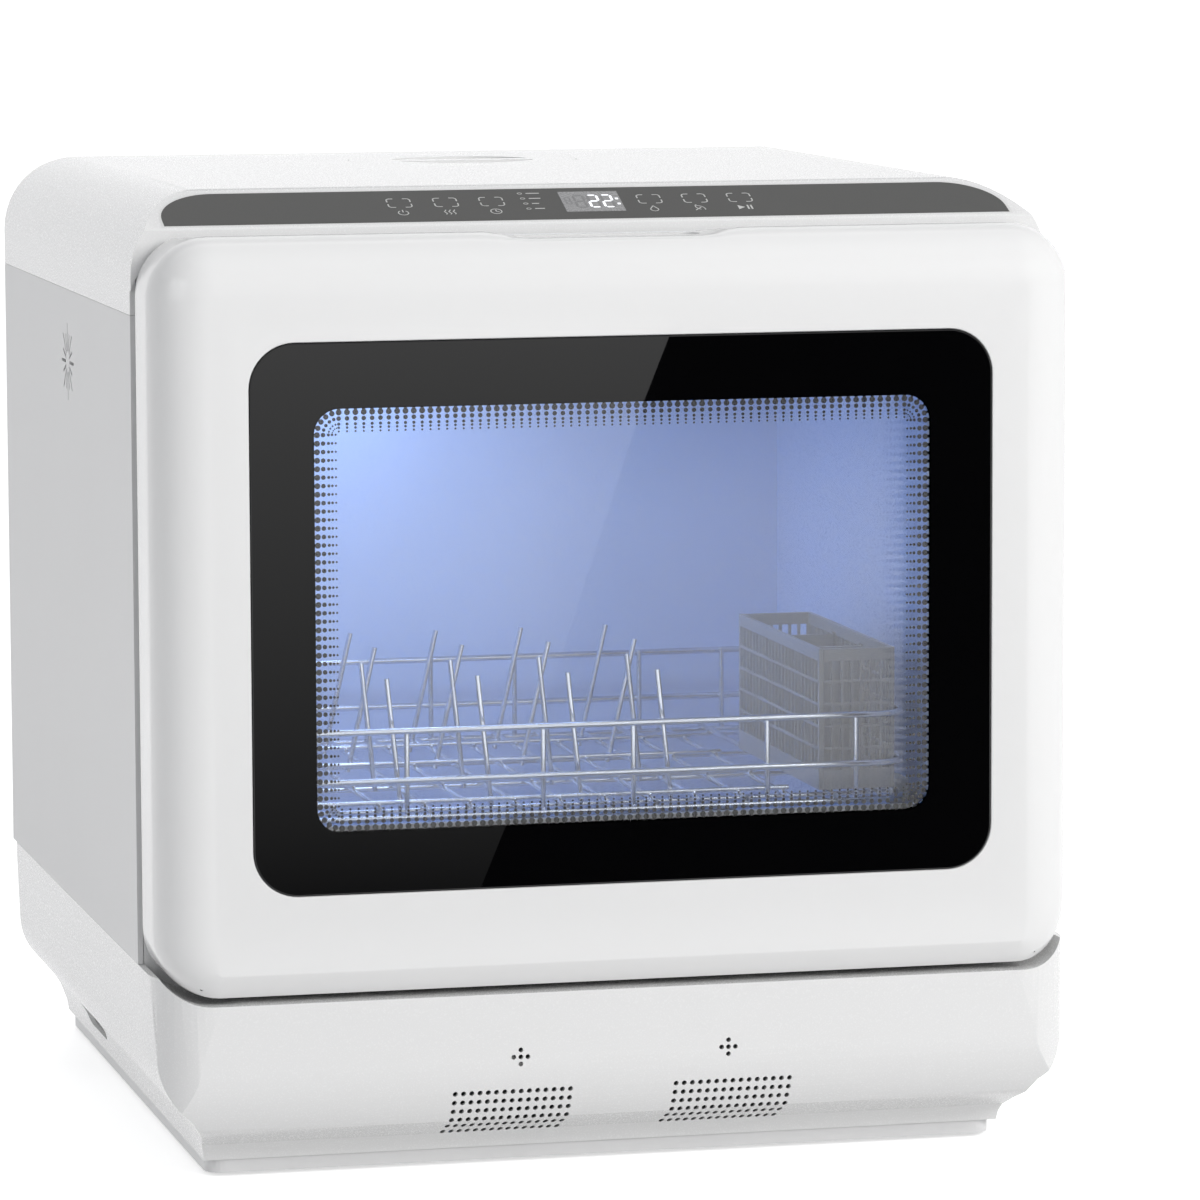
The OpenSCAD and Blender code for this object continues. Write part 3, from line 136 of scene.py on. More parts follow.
def glassSurface(name, tint, rough, smear):
    # clear glass with faint smears in its gloss
    m, t = nodeTree(name)
    coords = addNode(t, "ShaderNodeTexCoord")
    soft = addNode(t, "ShaderNodeTexNoise",
                   {"Vector": coords.outputs["Object"], "Scale": 22.0, "Detail": 3.0})
    gloss = addNode(t, "ShaderNodeMapRange",
                    {"Value": soft.outputs["Fac"], "To Min": rough, "To Max": rough + smear})
    p = addNode(t, "ShaderNodeBsdfPrincipled", {
        "Base Color": list(tint) + [1], "Roughness": gloss.outputs[0], "IOR": 1.5,
        "Transmission Weight": 1.0})
    out = addNode(t, "ShaderNodeOutputMaterial")
    t.links.new(p.outputs[0], out.inputs[0])
    return m


def glow(name, color, strength):
    # a face that gives light, a little uneven
    m, t = nodeTree(name)
    coords = addNode(t, "ShaderNodeTexCoord")
    soft = addNode(t, "ShaderNodeTexNoise", {"Vector": coords.outputs["Object"], "Scale": 300.0})
    level = addNode(t, "ShaderNodeMapRange", {"Value": soft.outputs["Fac"], "To Min": strength * 0.94,
                                             "To Max": strength * 1.06})
    e = addNode(t, "ShaderNodeEmission", {"Color": list(color) + [1], "Strength": level.outputs[0]})
    out = addNode(t, "ShaderNodeOutputMaterial")
    t.links.new(e.outputs[0], out.inputs[0])
    return m


finish = {
    "casing": surface("casing_white", (0.86, 0.86, 0.855), 0.26, 0.008, 0.03, grain=0.000004, grainScale=1400,
                      wave=0.0001, waveScale=7, coat=0.15, coatRough=0.12),
    "door": surface("door_white", (0.88, 0.88, 0.875), 0.22, 0.006, 0.03, grain=0.000003, grainScale=1600,
                    wave=0.00008, waveScale=6, coat=0.25, coatRough=0.08),
    "side": surface("side_white", (0.80, 0.80, 0.80), 0.42, 0.01, 0.05, grain=0.000006, grainScale=1500),
    "plinth": surface("plinth_white", (0.80, 0.80, 0.80), 0.36, 0.01, 0.05, grain=0.00001, grainScale=1300),
    "liner": surface("liner_white", (0.78, 0.79, 0.80), 0.3, 0.01, 0.04, grain=0.000006, grainScale=1100),
    "strip": surface("strip_grey", (0.058, 0.058, 0.056), 0.42, 0.02, 0.04, grain=0.000003, grainScale=2200,
                     spec=0.2),
    "stripEdge": surface("strip_edge", (0.75, 0.75, 0.74), 0.3, 0.01, 0.03),
    "print": surface("window_print", (0.0025, 0.0025, 0.003), 0.35, 0.05, 0.05, spec=0.3),
    "blackGlass": surface("black_glass", (0.0015, 0.0015, 0.0018), 0.012, 0.1, 0.008),
    "mark": surface("printed_mark", (0.62, 0.62, 0.61), 0.5, 0.03, 0.05),
    "board": surface("circuit_green", (0.03, 0.14, 0.06), 0.45, 0.1, 0.1),
    "display": surface("display_face", (0.22, 0.22, 0.225), 0.28, 0.03, 0.04, coat=0.3),
    "segmentOff": surface("segment_dark", (0.155, 0.155, 0.16), 0.35, 0.02, 0.03),
    "segmentOn": glow("segment_lit", (0.93, 0.95, 1.0), 1.5),
    # the pale blue in the tub's colour is painted light: it stands in for the blue glow of the interior lamp
    # on the tub walls
    "tub": surface("tub_blue_painted_light", (0.50, 0.62, 0.86), 0.3, 0.03, 0.05, wave=0.00005, waveScale=14, coat=0.2),
    "grey": surface("moulded_grey", (0.20, 0.21, 0.23), 0.38, 0.03, 0.06, grain=0.00001, grainScale=1200),
    "basket": surface("basket_grey", (0.27, 0.28, 0.31), 0.36, 0.03, 0.06, grain=0.00001, grainScale=1200),
    "nylon": surface("nylon_white", (0.74, 0.74, 0.73), 0.4, 0.02, 0.05, grain=0.00001, grainScale=1200),
    "rubber": surface("black_rubber", (0.025, 0.025, 0.026), 0.6, 0.1, 0.08, grain=0.00003, grainScale=900),
    "gasket": surface("grey_gasket", (0.16, 0.16, 0.17), 0.55, 0.06, 0.08, grain=0.00002, grainScale=900),
    "steel": surface("brushed_steel", (0.58, 0.59, 0.60), 0.3, 0.05, 0.1, metal=1.0, stretch=(1, 1, 12),
                     grain=0.000006, grainScale=600),
    "wire": surface("rack_wire", (0.66, 0.69, 0.75), 0.16, 0.04, 0.05, metal=1.0, grain=0.000004,
                    grainScale=900),
    "mesh": surface("filter_mesh", (0.50, 0.50, 0.51), 0.35, 0.1, 0.1, metal=1.0),
    "glass": glassSurface("front_glass", (1, 1, 1), 0.0, 0.015),
    "pane": glassSurface("inner_pane", (0.97, 0.985, 1.0), 0.0, 0.03),
    "lamp": glow("lamp_lens", (0.55, 0.70, 1.0), 9.0),
    "dark": surface("dark_inside", (0.02, 0.02, 0.022), 0.7, 0.1, 0.1),
}


# mesh helpers
def linked(name, data):
    # an object in the scene that has no body yet
    o = bpy.data.objects.new(name, data)
    bpy.context.scene.collection.objects.link(o)
    return o


def newObject(name, mesh, material, body, nodesReplaced=()):
    o = linked(name, mesh)
    mesh.materials.clear()
    mesh.materials.append(finish[material])
    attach(o, body)
    if nodesReplaced:
        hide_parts(*nodesReplaced)
    return o


def meshFrom(name, verts, faces):
    mesh = bpy.data.meshes.new(name)
    mesh.from_pydata([tuple(v) for v in verts], [], faces)
    mesh.validate()
    return mesh


def keepShading(o):
    w = o.modifiers.new("shade", "WEIGHTED_NORMAL")
    w.keep_sharp = True
    return o


def smooth(o, angle=30, bevel=0.0):
    # smooth shading up to an angle, with rounded edges where a width is given
    o.data.shade_smooth()
    o.data.set_sharp_from_angle(angle=math.radians(angle))
    if bevel:
        b = o.modifiers.new("edges", "BEVEL")
        b.width = bevel
        b.segments = 2
        b.limit_method = "ANGLE"
        b.angle_limit = math.radians(angle)
        b.harden_normals = False
        b.use_clamp_overlap = True
        b.miter_outer = "MITER_ARC"
    return keepShading(o)


def fromCad(node, material, bevel=0.0, angle=30, skip=(), clean=True):
    # a cleaned copy of a node's mesh with rounded edges; edges inside a skip box stay sharp
    source = nodes[node]
    mesh = source.data.copy()
    bm = bmesh.new()
    bm.from_mesh(mesh)
    bmesh.ops.remove_doubles(bm, verts=bm.verts, dist=2e-6)
    if clean:
        bmesh.ops.dissolve_limit(bm, angle_limit=math.radians(0.4), verts=bm.verts, edges=bm.edges,
                                 use_dissolve_boundaries=False)
    bm.normal_update()
    limit = math.radians(angle)
    layer = bm.edges.layers.float.new("bevel_weight_edge")
    for e in bm.edges:
        sharp = len(e.link_faces) != 2 or e.calc_face_angle(0) > limit
        e.smooth = not sharp
        mid = (e.verts[0].co + e.verts[1].co) / 2
        inside = any(all(b[0][k] <= mid[k] <= b[1][k] for k in range(3)) for b in skip)
        e[layer] = 1.0 if sharp and not inside and len(e.link_faces) == 2 else 0.0
    for f in bm.faces:
        f.smooth = True
    bm.to_mesh(mesh)
    bm.free()
    o = newObject(node + "_piece", mesh, material, source["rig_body"], (node,))
    if bevel:
        b = o.modifiers.new("edges", "BEVEL")
        b.width = bevel
        b.segments = 2
        b.limit_method = "WEIGHT"
        b.use_clamp_overlap = True
        b.miter_outer = "MITER_ARC"
    return keepShading(o)


def roundRect(x0, x1, z0, z1, r, corner=10, edge=1):
    # outline points with their outward directions, counter-clockwise from the right-hand side's foot
    points = []
    centres = [(x1 - r, z0 + r, -90), (x1 - r, z1 - r, 0), (x0 + r, z1 - r, 90), (x0 + r, z0 + r, 180)]
    for k, (cx, cz, a0) in enumerate(centres):
        for i in range(corner + 1):
            a = math.radians(a0 + 90 * i / corner)
            points.append((cx + r * math.cos(a), cz + r * math.sin(a), math.cos(a), math.sin(a)))
        nx, nz, na = centres[(k + 1) % 4]
        a = math.radians(a0 + 90)
        ax, az = cx + r * math.cos(a), cz + r * math.sin(a)
        bx, bz = nx + r * math.cos(a), nz + r * math.sin(a)
        for i in range(1, edge):
            f = i / edge
            points.append((ax + (bx - ax) * f, az + (bz - az) * f, math.cos(a), math.sin(a)))
    return points


def loft(name, rings, material, body, closed=False, caps=(False, False), replaced=()):
    # skins a list of rings that have the same number of points
    n = len(rings[0])
    verts = [v for ring in rings for v in ring]
    faces = []
    count = len(rings)
    for k in range(count if closed else count - 1):
        a, b = k * n, ((k + 1) % count) * n
        for i in range(n):
            j = (i + 1) % n
            faces.append((a + i, a + j, b + j, b + i))
    if caps[0]:
        faces.append(tuple(range(n))[::-1])
    if caps[1]:
        last = (count - 1) * n
        faces.append(tuple(range(last, last + n)))
    return newObject(name, meshFrom(name, verts, faces), material, body, replaced)


def slab(name, outline, d0, d1, material, body, replaced=(), bevel=0.0):
    # a flat plate of an x-z outline between two depths
    rings = [[at(p[0], d1, p[1]) for p in outline], [at(p[0], d0, p[1]) for p in outline]]
    o = loft(name, rings, material, body, caps=(True, True), replaced=replaced)
    return smooth(o, 30, bevel)


def boxPiece(x, d, z):
    # a box between two values in each direction, used as a cutter or joined to a piece
    (x0, x1), (d0, d1), (z0, z1) = x, d, z
    mesh = meshFrom("box", [at(a, b, c) for c in (z0, z1) for b in (d0, d1) for a in (x0, x1)],
                    [(0, 2, 3, 1), (4, 5, 7, 6), (0, 1, 5, 4), (2, 6, 7, 3), (0, 4, 6, 2), (1, 3, 7, 5)])
    return linked("box", mesh)


def blockFaces(n, layers=2):
    # faces of a closed block whose layers have n points each
    last = (layers - 1) * n
    sides = [(k * n + i, k * n + (i + 1) % n, (k + 1) * n + (i + 1) % n, (k + 1) * n + i)
             for k in range(layers - 1) for i in range(n)]
    return [tuple(range(n))[::-1], tuple(range(last, last + n))] + sides


def prism(points, z0, z1):
    # an upright block over a plan outline of (x, d) points
    corners = [at(x, d, z) for z in (z0, z1) for x, d in points]
    return linked("block", meshFrom("block", corners, blockFaces(len(points))))


def crossBar(x0, x1, d, z, r, n=28):
    # a round bar along the width, used as a cutter
    ring = [(d + r * math.cos(2 * math.pi * i / n), z + r * math.sin(2 * math.pi * i / n))
            for i in range(n)]
    corners = [at(x, a, b) for x in (x0, x1) for a, b in ring]
    return linked("bar", meshFrom("bar", corners, blockFaces(n)))


def carve(o, tools, operation="DIFFERENCE"):
    # joins or cuts the tools, keeps the result as the piece's own mesh and drops the tools
    for tool in tools:
        b = o.modifiers.new("carve", "BOOLEAN")
        b.object = tool
        b.operation = operation
        b.solver = "EXACT"
    graph = bpy.context.evaluated_depsgraph_get()
    mesh = bpy.data.meshes.new_from_object(o.evaluated_get(graph))
    o.modifiers.clear()
    o.data = mesh
    for tool in tools:
        bpy.data.objects.remove(tool)


print("stage: materials and helpers ready")

# casing, from the construction's own shapes with softened edges

grilleBox = ((-0.09, -0.3, 0.012), (0.09, 0.0, 0.062))
fromCad("top_cover", "casing", bevel=0.0007, angle=24)
fromCad("side_panel_left", "side", clean=False)
fromCad("side_panel_right", "side", clean=False)
fromCad("rear_panel", "side", clean=False)
fromCad("base_housing", "casing", bevel=0.0006, angle=28)
fromCad("carry_cups", "casing")
fromCad("front_lower_panel", "casing", bevel=0.0006, angle=28, skip=(grilleBox,), clean=False)
fromCad("base_plinth", "plinth", bevel=0.0005, clean=False)
fromCad("front_frame", "casing", bevel=0.0004)
fromCad("filler_cap", "casing", bevel=0.0006, clean=False)
fromCad("filler_collar", "casing", bevel=0.0003, clean=False)
fromCad("strainer_frame", "nylon", bevel=0.0003)
fromCad("tub", "tub", bevel=0.0005, clean=False)
fromCad("door_liner", "liner", bevel=0.0005, clean=False)
fromCad("rack_guides", "grey", bevel=0.0004)
fromCad("feed_pipe", "grey", bevel=0.0003)
fromCad("upper_spray_arm", "grey", bevel=0.0006, clean=False)
fromCad("lower_spray_arm", "grey", bevel=0.0006, clean=False)
fromCad("detergent_cup", "grey", bevel=0.0003, clean=False)
fromCad("detergent_lid", "nylon", bevel=0.0003)
fromCad("rack_glides", "nylon", bevel=0.0004)
fromCad("basket_dividers", "basket", bevel=0.0003)

# pieces that keep the construction's mesh and take a finish
plain = {
    "feet": "rubber", "casing_screws": "steel", "control_board": "board", "display_module": "dark",
    "strainer_mesh": "mesh", "fill_funnel": "nylon", "cap_seal": "rubber", "water_tank": "nylon",
    "door_gasket": "gasket", "sump_housing": "grey", "spray_post": "grey", "sump_filter": "steel",
    "wash_pump": "grey", "drain_pump": "grey", "pump_hoses": "rubber", "inlet_valve": "nylon",
    "main_board": "board", "fan_housing": "grey", "fan_rotor": "rubber", "hinge_brackets": "steel",
    "latch_housing": "grey", "latch_pawl": "nylon", "glass_bond": "rubber", "inner_glass_seal": "rubber",
    "latch_hook": "nylon", "hinge_leaves": "steel",
}
for node, material in plain.items():
    o = nodes[node]
    o.data.materials.clear()
    o.data.materials.append(finish[material])

for node in ("rack_rails", "rack_bends", "rack_floor", "rack_uprights", "rack_tines"):
    fromCad(node, "wire", angle=40)

# cutlery basket: thin walls of small windows

basket = {"wall": 2.0, "rim": 5.6, "foot": 9.2, "rows": 5, "longCols": 24, "endCols": 7, "bar": 1.25,
          "post": 2.4, "endPost": 0.7, "floorBar": 1.6, "floorLong": 16, "floorAcross": 4, "floorEdge": 2.0,
          "rib": 0.9, "ribPlaces": (-1.05, 2.15), "ribFoot": 2.0, "ribHead": 4, "divider": 2.0}
basketLow, basketHigh = (Vector(v) * 1000 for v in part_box("cutlery_basket"))


def gridPlate(bm, us, vs, place, thick, holes):
    # a plate with square holes; place(u, v, w) gives a point, w runs through the thickness
    nu, nv = len(us) - 1, len(vs) - 1
    points = {}

    def point(i, j, side):
        key = (i, j, side)
        if key not in points:
            points[key] = bm.verts.new(place(us[i], vs[j], thick * side))
        return points[key]

    def isOpen(i, j):
        return i < 0 or j < 0 or i >= nu or j >= nv or holes(i, j)

    for i in range(nu):
        for j in range(nv):
            if isOpen(i, j):
                continue
            bm.faces.new([point(i, j, 1), point(i + 1, j, 1), point(i + 1, j + 1, 1), point(i, j + 1, 1)])
            bm.faces.new([point(i, j + 1, 0), point(i + 1, j + 1, 0), point(i + 1, j, 0), point(i, j, 0)])
            edges = (((i - 1, j), (i, j + 1), (i, j)), ((i + 1, j), (i + 1, j), (i + 1, j + 1)),
                     ((i, j - 1), (i, j), (i + 1, j)), ((i, j + 1), (i + 1, j + 1), (i, j + 1)))
            for other, a, b in edges:
                if isOpen(*other):
                    bm.faces.new([point(*a, 0), point(*b, 0), point(*b, 1), point(*a, 1)])


def barEdges(start, stop, count, bar, margin):
    # edges of a row of windows between two solid margins
    pitch = (stop - start - 2 * margin + bar) / count
    values = [start]
    for k in range(count):
        values += [start + margin + k * pitch, start + margin + (k + 1) * pitch - bar]
    return values + [stop]


bx0, by0, bz0 = basketLow
bx1, by1, bz1 = basketHigh
rowEdges = [0.0]
pitch = (bz1 - bz0 - basket["rim"] - basket["foot"] + basket["bar"]) / basket["rows"]
for k in range(basket["rows"]):
    rowEdges += [basket["foot"] + k * pitch, basket["foot"] + (k + 1) * pitch - basket["bar"]]
rowEdges.append(bz1 - bz0)


def windowCell(i, j):
    return i % 2 == 1 and j % 2 == 1


bm = bmesh.new()
longEdges = barEdges(by0, by1, basket["longCols"], basket["bar"], basket["post"])
endEdges = barEdges(bx0 + basket["wall"], bx1 - basket["wall"], basket["endCols"], basket["bar"],
                    basket["endPost"])
wall = basket["wall"]
for x in (bx0, bx1 - wall):
    gridPlate(bm, longEdges, rowEdges, lambda u, v, w, x=x: Vector((x + w, u, bz0 + v)) / 1000,
              wall, windowCell)
for y in (by0, by1 - wall):
    gridPlate(bm, endEdges, rowEdges, lambda u, v, w, y=y: Vector((u, y + wall - w, bz0 + v)) / 1000,
              wall, windowCell)
floorLong = barEdges(by0 + wall, by1 - wall, basket["floorLong"], basket["floorBar"], basket["floorEdge"])
floorAcross = barEdges(bx0 + wall, bx1 - wall, basket["floorAcross"], basket["floorBar"],
                       basket["floorEdge"])
gridPlate(bm, floorAcross, floorLong, lambda u, v, w: Vector((u, v, bz0 + w)) / 1000, wall, windowCell)
# ribs that hold the two dividers
dividerLow, dividerHigh = (Vector(v) * 1000 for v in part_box("basket_dividers"))
rib = basket["rib"]
for y in (dividerLow.y, dividerHigh.y - basket["divider"]):
    for x in (bx0 + wall, bx1 - wall - rib):
        for d in basket["ribPlaces"]:
            gridPlate(bm, [y + d, y + d + rib], [basket["ribFoot"], bz1 - bz0 - basket["ribHead"]],
                      lambda u, v, w, x=x: Vector((x + w, u, bz0 + v)) / 1000, rib, lambda i, j: False)
bmesh.ops.recalc_face_normals(bm, faces=bm.faces)
mesh = bpy.data.meshes.new("cutlery_basket_grid")
bm.to_mesh(mesh)
bm.free()
smooth(newObject("cutlery_basket_grid", mesh, "basket", "basket", ("cutlery_basket",)), 30, 0.00025)

print("stage: casing and inner pieces")

# door shell: one skin from the glass seat round its soft edges to the back

door = {"half": 209.0, "low": 86.3, "high": 420.0, "corner": 27.0, "round": 25.0, "back": 50.0, "wall": 2.8,
        "chamferHigh": 12.0, "chamferDeep": 8.0, "topSlope": 2.5, "depth": 53.0, "steps": 12,
        "gripHalf": 56.0, "gripEnd": 14.0, "gripDip": 2.8, "dipSoft": 1.2, "pocket": (34.0, 42.0, 9.0, 16.0)}
glass = {"x": 167.8, "low": 132.2, "high": 374.5, "r": 20.0, "t": 4.0,
         "window": (-139.5, 139.5, 159.3, 345.7), "windowR": 11.5}
sides = {"corner": 12, "edge": 56}


def doorRing(inset, depth, chamferInset=None, chamferDepth=None, dips=True):
    # the door's outline moved in; the lower edge may take its own inset and depth, and only the
    # outer skin dips for the fingers
    points = []
    for x, z, nx, nz in roundRect(-door["half"], door["half"], door["low"], door["high"], door["corner"],
                                  sides["corner"], sides["edge"]):
        below = nz < 0 and chamferInset is not None
        own = chamferInset if below else inset
        d = depth + (chamferDepth - depth) * nz * nz if below else depth
        px, pz = x - nx * inset, z - nz * own
        slope = door["topSlope"] * max(0.0, d - door["round"]) / (door["depth"] - door["round"])
        if nz > 0.5:
            pz = min(pz, door["high"] - own - slope * nz)
        reach = door["gripHalf"] - abs(px)
        if nz > 0 and reach > 0 and dips:
            share = min(1.0, reach / door["gripEnd"])
            dip = door["gripDip"] * (0.5 - 0.5 * math.cos(math.pi * share))
            # the dip's bottom joins the rounded edge softly
            high = door["high"] - dip
            over = pz - (high - door["dipSoft"])
            if over > 0:
                pz = high - door["dipSoft"] + door["dipSoft"] * (1 - math.exp(-over / door["dipSoft"]))
        points.append(at(px, d, pz))
    return points


def glassRing(grow, depth):
    r = max(glass["r"] + grow, 1.0)
    return [at(x, depth, z) for x, z, _, _ in roundRect(
        -glass["x"] - grow, glass["x"] + grow, glass["low"] - grow, glass["high"] + grow, r,
        sides["corner"], sides["edge"])]


bend, wall = door["round"], door["wall"]
rings = [doorRing(0.0, door["back"]), doorRing(0.0, bend + 12),
         doorRing(0.0, bend, 0.0, door["chamferDeep"] + 8)]
for k in range(1, door["steps"] + 1):
    a = math.pi / 2 * k / door["steps"]
    share = k / door["steps"]
    # rolled edge at the sides and the top, a nearly flat chamfer below
    below = door["chamferHigh"] * share
    deep = door["chamferDeep"] * (1 - share) ** 1.15
    rings.append(doorRing(bend * (1 - math.cos(a)), bend * (1 - math.sin(a)), below, deep))
# the glass seat: a soft rim, the gap round the glass, the ledge behind it and the way back to the wall
seat = ((1.1, 0.0), (0.6, 0.12), (0.3, 0.5), (0.3, glass["t"] + 0.3), (-13.0, glass["t"] + 0.3),
        (-13.0, glass["t"] + 4.5), (2.5, glass["t"] + 4.5), (2.5, wall))
rings += [glassRing(grow, depth) for grow, depth in seat]


def innerRing(inset, k):
    # the outline at step k of the rolled edge, moved in from the outer skin
    a = math.pi / 2 * k / door["steps"]
    share = k / door["steps"]
    return doorRing(inset + (bend - inset) * (1 - math.cos(a)), inset + (bend - inset) * (1 - math.sin(a)),
                    inset + (door["chamferHigh"] - inset) * share,
                    inset + door["chamferDeep"] * (1 - share), False)


rings += [innerRing(wall, k) for k in range(door["steps"], 0, -2)]
rings.append(doorRing(wall, door["back"], dips=False))
shell = loft("door_shell_skin", rings, "door", "door", closed=True, replaced=("door_shell",))

# room for the brackets (notch), the leaves (their two faces) and the eyes, with the gaps round them
hinge = {"x": 184.0, "d": 12.0, "z": 97.0, "notch": 8.5, "notchFront": 1.6, "notchHigh": 104.6,
         "leaf": (3.7, 6.7), "leafGap": 0.4, "leafLow": 91.2, "leafHigh": 132.0, "eye": 5.4, "eyeGap": 0.5,
         "wallHigh": 112.0, "wallFront": 9.5, "wallBack": 49.9, "side": 2}
under = 0.4               # what is joined stays this far under the outer skin
gripD, gripX, gripR, gripDeep = door["pocket"]
joined = []
for s in (-1, 1):
    x, reach = s * hinge["x"], hinge["notch"] + hinge["side"]
    joined.append(boxPiece((x - reach, x + reach), (hinge["wallFront"], hinge["wallBack"]),
                           (door["low"] + 0.6, hinge["wallHigh"])))
grip = roundRect(-gripX - 2, gripX + 2, gripD - gripR - 2, gripD + gripR + 2, 9, 6)
joined.append(prism([(p[0], p[1]) for p in grip], door["high"] - 18, door["high"] - 3.6))
core = [doorRing(under, door["back"] - 0.1, dips=False)]
core += [innerRing(under, k) for k in range(1, door["steps"] + 1)]
coreMesh = meshFrom("core", [v for ring in core for v in ring], blockFaces(len(core[0]), len(core)))
for piece in joined:
    carve(piece, [linked("core", coreMesh)], "INTERSECT")
carve(shell, joined, "UNION")
cutters = []
for s in (-1, 1):
    x = s * hinge["x"]
    cutters.append(boxPiece((x - hinge["notch"], x + hinge["notch"]),
                            (hinge["d"] - hinge["notchFront"], 55), (80, hinge["notchHigh"])))
    reach = hinge["leaf"][1] + hinge["eyeGap"]
    cutters.append(crossBar(x - reach, x + reach, hinge["d"], hinge["z"], hinge["eye"] + hinge["eyeGap"]))
    for e in (-1, 1):
        a, b = sorted((x + e * (hinge["leaf"][0] - hinge["leafGap"]),
                       x + e * (hinge["leaf"][1] + hinge["leafGap"])))
        cutters.append(boxPiece((a, b), (hinge["d"] - hinge["eye"] - hinge["leafGap"], 51),
                                (hinge["leafLow"], hinge["leafHigh"])))
grip = roundRect(-gripX, gripX, gripD - gripR, gripD + gripR, 7, 6)
cutters.append(prism([(p[0], p[1]) for p in grip], door["high"] - gripDeep, door["high"] + 3))
carve(shell, cutters)
smooth(shell, 32)
print("stage: door shell")

# control strip

strip = {"front": 56.5, "back": 94.5, "low": 421.9, "high": 437.0, "thick": 2.0, "half": 195.0,
         "margin": 1.5, "over": 4.3, "end": 27.0, "line": 0.9, "markLift": 0.01}
slopeLength = math.hypot(strip["back"] - strip["front"], strip["high"] - strip["low"])
slopeAngle = math.atan2(strip["high"] - strip["low"], strip["back"] - strip["front"])


def onSlope(x, u, lift=0.0):
    # a point of the control strip: along the width, up the slope and above it
    d = strip["front"] + u * math.cos(slopeAngle) - lift * math.sin(slopeAngle)
    z = strip["low"] + u * math.sin(slopeAngle) + lift * math.cos(slopeAngle)
    return at(x, d, z)


def stripOutline(grow=0.0, steps=28):
    # the strip's outline on the slope as (x, u) points, with its curved upper ends
    u0 = strip["margin"] - grow
    u1 = slopeLength - strip["over"] + grow
    side = strip["half"] + grow
    right = [(side, u0)]
    for i in range(steps + 1):
        a = math.pi / 2 * i / steps
        right.append((side - strip["end"] + strip["end"] * math.cos(a), u0 + 7 + (u1 - u0 - 7) * math.sin(a)))
    return right + [(-x, u) for x, u in reversed(right)]


outline = stripOutline()
lens = loft("control_strip", [[onSlope(x, u, -strip["thick"]) for x, u in outline],
                              [onSlope(x, u, -0.02) for x, u in outline]],
            "strip", "cabinet", caps=(True, True), replaced=("control_panel",))
smooth(lens, 30, 0.0003)

# thin pale line round the strip
outer, inner = stripOutline(0.1), stripOutline(-strip["line"])
lineRings = [[onSlope(x, u, lift) for x, u in ring]
             for ring, lift in ((outer, -0.5), (outer, 0.0), (inner, 0.0), (inner, -0.5))]
edgeLine = loft("strip_edge_line", lineRings, "stripEdge", "cabinet", closed=True)
smooth(edgeLine, 30)


def flatShapes(name, shapes, material, lift, thick=0.02):
    # thin raised shapes on the strip, each a list of (x, u) points
    verts, faces = [], []
    for shape in shapes:
        n = len(shape)
        k = len(verts)
        verts += [onSlope(x, u, lift) for x, u in shape]
        verts += [onSlope(x, u, lift + thick) for x, u in shape]
        area = sum(shape[i][0] * shape[(i + 1) % n][1] - shape[(i + 1) % n][0] * shape[i][1]
                   for i in range(n))
        order = list(range(n)) if area > 0 else list(range(n - 1, -1, -1))
        faces.append(tuple(k + n + i for i in order))
        faces.append(tuple(k + i for i in reversed(order)))
        for a in range(n):
            i, j = order[a], order[(a + 1) % n]
            faces.append((k + i, k + j, k + n + j, k + n + i))
    return newObject(name, meshFrom(name, verts, faces), material, "cabinet")


def stroke(points, width):
    # short bars along a line of points
    shapes = []
    for (x0, y0), (x1, y1) in zip(points, points[1:]):
        length = math.hypot(x1 - x0, y1 - y0) or 1
        dx, dy = (x1 - x0) / length * width / 2, (y1 - y0) / length * width / 2
        shapes.append([(x0 - dy - dx * 0.4, y0 + dx - dy * 0.4), (x0 + dy - dx * 0.4, y0 - dx - dy * 0.4),
                       (x1 + dy + dx * 0.4, y1 - dx + dy * 0.4), (x1 - dy + dx * 0.4, y1 + dx + dy * 0.4)])
    return shapes


def arcPoints(cx, cy, r, a0, a1, n=10, squash=1.0):
    return [(cx + r * math.cos(math.radians(a0 + (a1 - a0) * i / n)),
             cy + squash * r * math.sin(math.radians(a0 + (a1 - a0) * i / n))) for i in range(n + 1)]


keys = {"x": (-84.8, -63.6, -42.5, 30.2, 51.2, 72.2), "u": 22.6, "half": 5.3, "high": 4.5, "arm": 3.0,
        "round": 1.5, "width": 0.6, "iconU": 12.2, "iconLine": 0.5}
marks = []
for kx in keys["x"]:
    for sx in (-1, 1):
        for sy in (-1, 1):
            x, u = kx + sx * keys["half"], keys["u"] + sy * keys["high"]
            path = [(x - sx * keys["arm"], u), (x - sx * keys["round"], u)]
            path += [(x - sx * keys["round"] + sx * keys["round"] * math.sin(a), u - sy * keys["round"]
                      + sy * keys["round"] * math.cos(a)) for a in (0.4, 0.8, 1.2, math.pi / 2)]
            path += [(x, u - sy * (keys["arm"] + 0.4))]
            marks += stroke(path, keys["width"])

# plain pictograms: power, drying air, delay clock, water drop, leaf, start and pause
thin = keys["iconLine"]
icon = keys["iconU"]
px = keys["x"]
marks += stroke(arcPoints(px[0], icon, 2.3, -235, 55, 14), thin)
marks += stroke([(px[0], icon + 0.6), (px[0], icon + 3.0)], thin)
for k in (-2.0, 0.0, 2.0):
    marks += stroke([(px[1] + k + 0.5 * math.sin(t * 1.6), icon - 2.3 + t * 0.92) for t in range(6)], thin)
marks += stroke(arcPoints(px[2], icon, 2.5, 0, 360, 18), thin)
marks += stroke([(px[2], icon + 1.7), (px[2], icon), (px[2] + 1.3, icon - 0.7)], thin)
marks += stroke([(px[3], icon + 3.0), (px[3] - 1.6, icon + 0.1)]
                + arcPoints(px[3], icon - 0.7, 1.8, 160, 380, 12) + [(px[3], icon + 3.0)], thin)
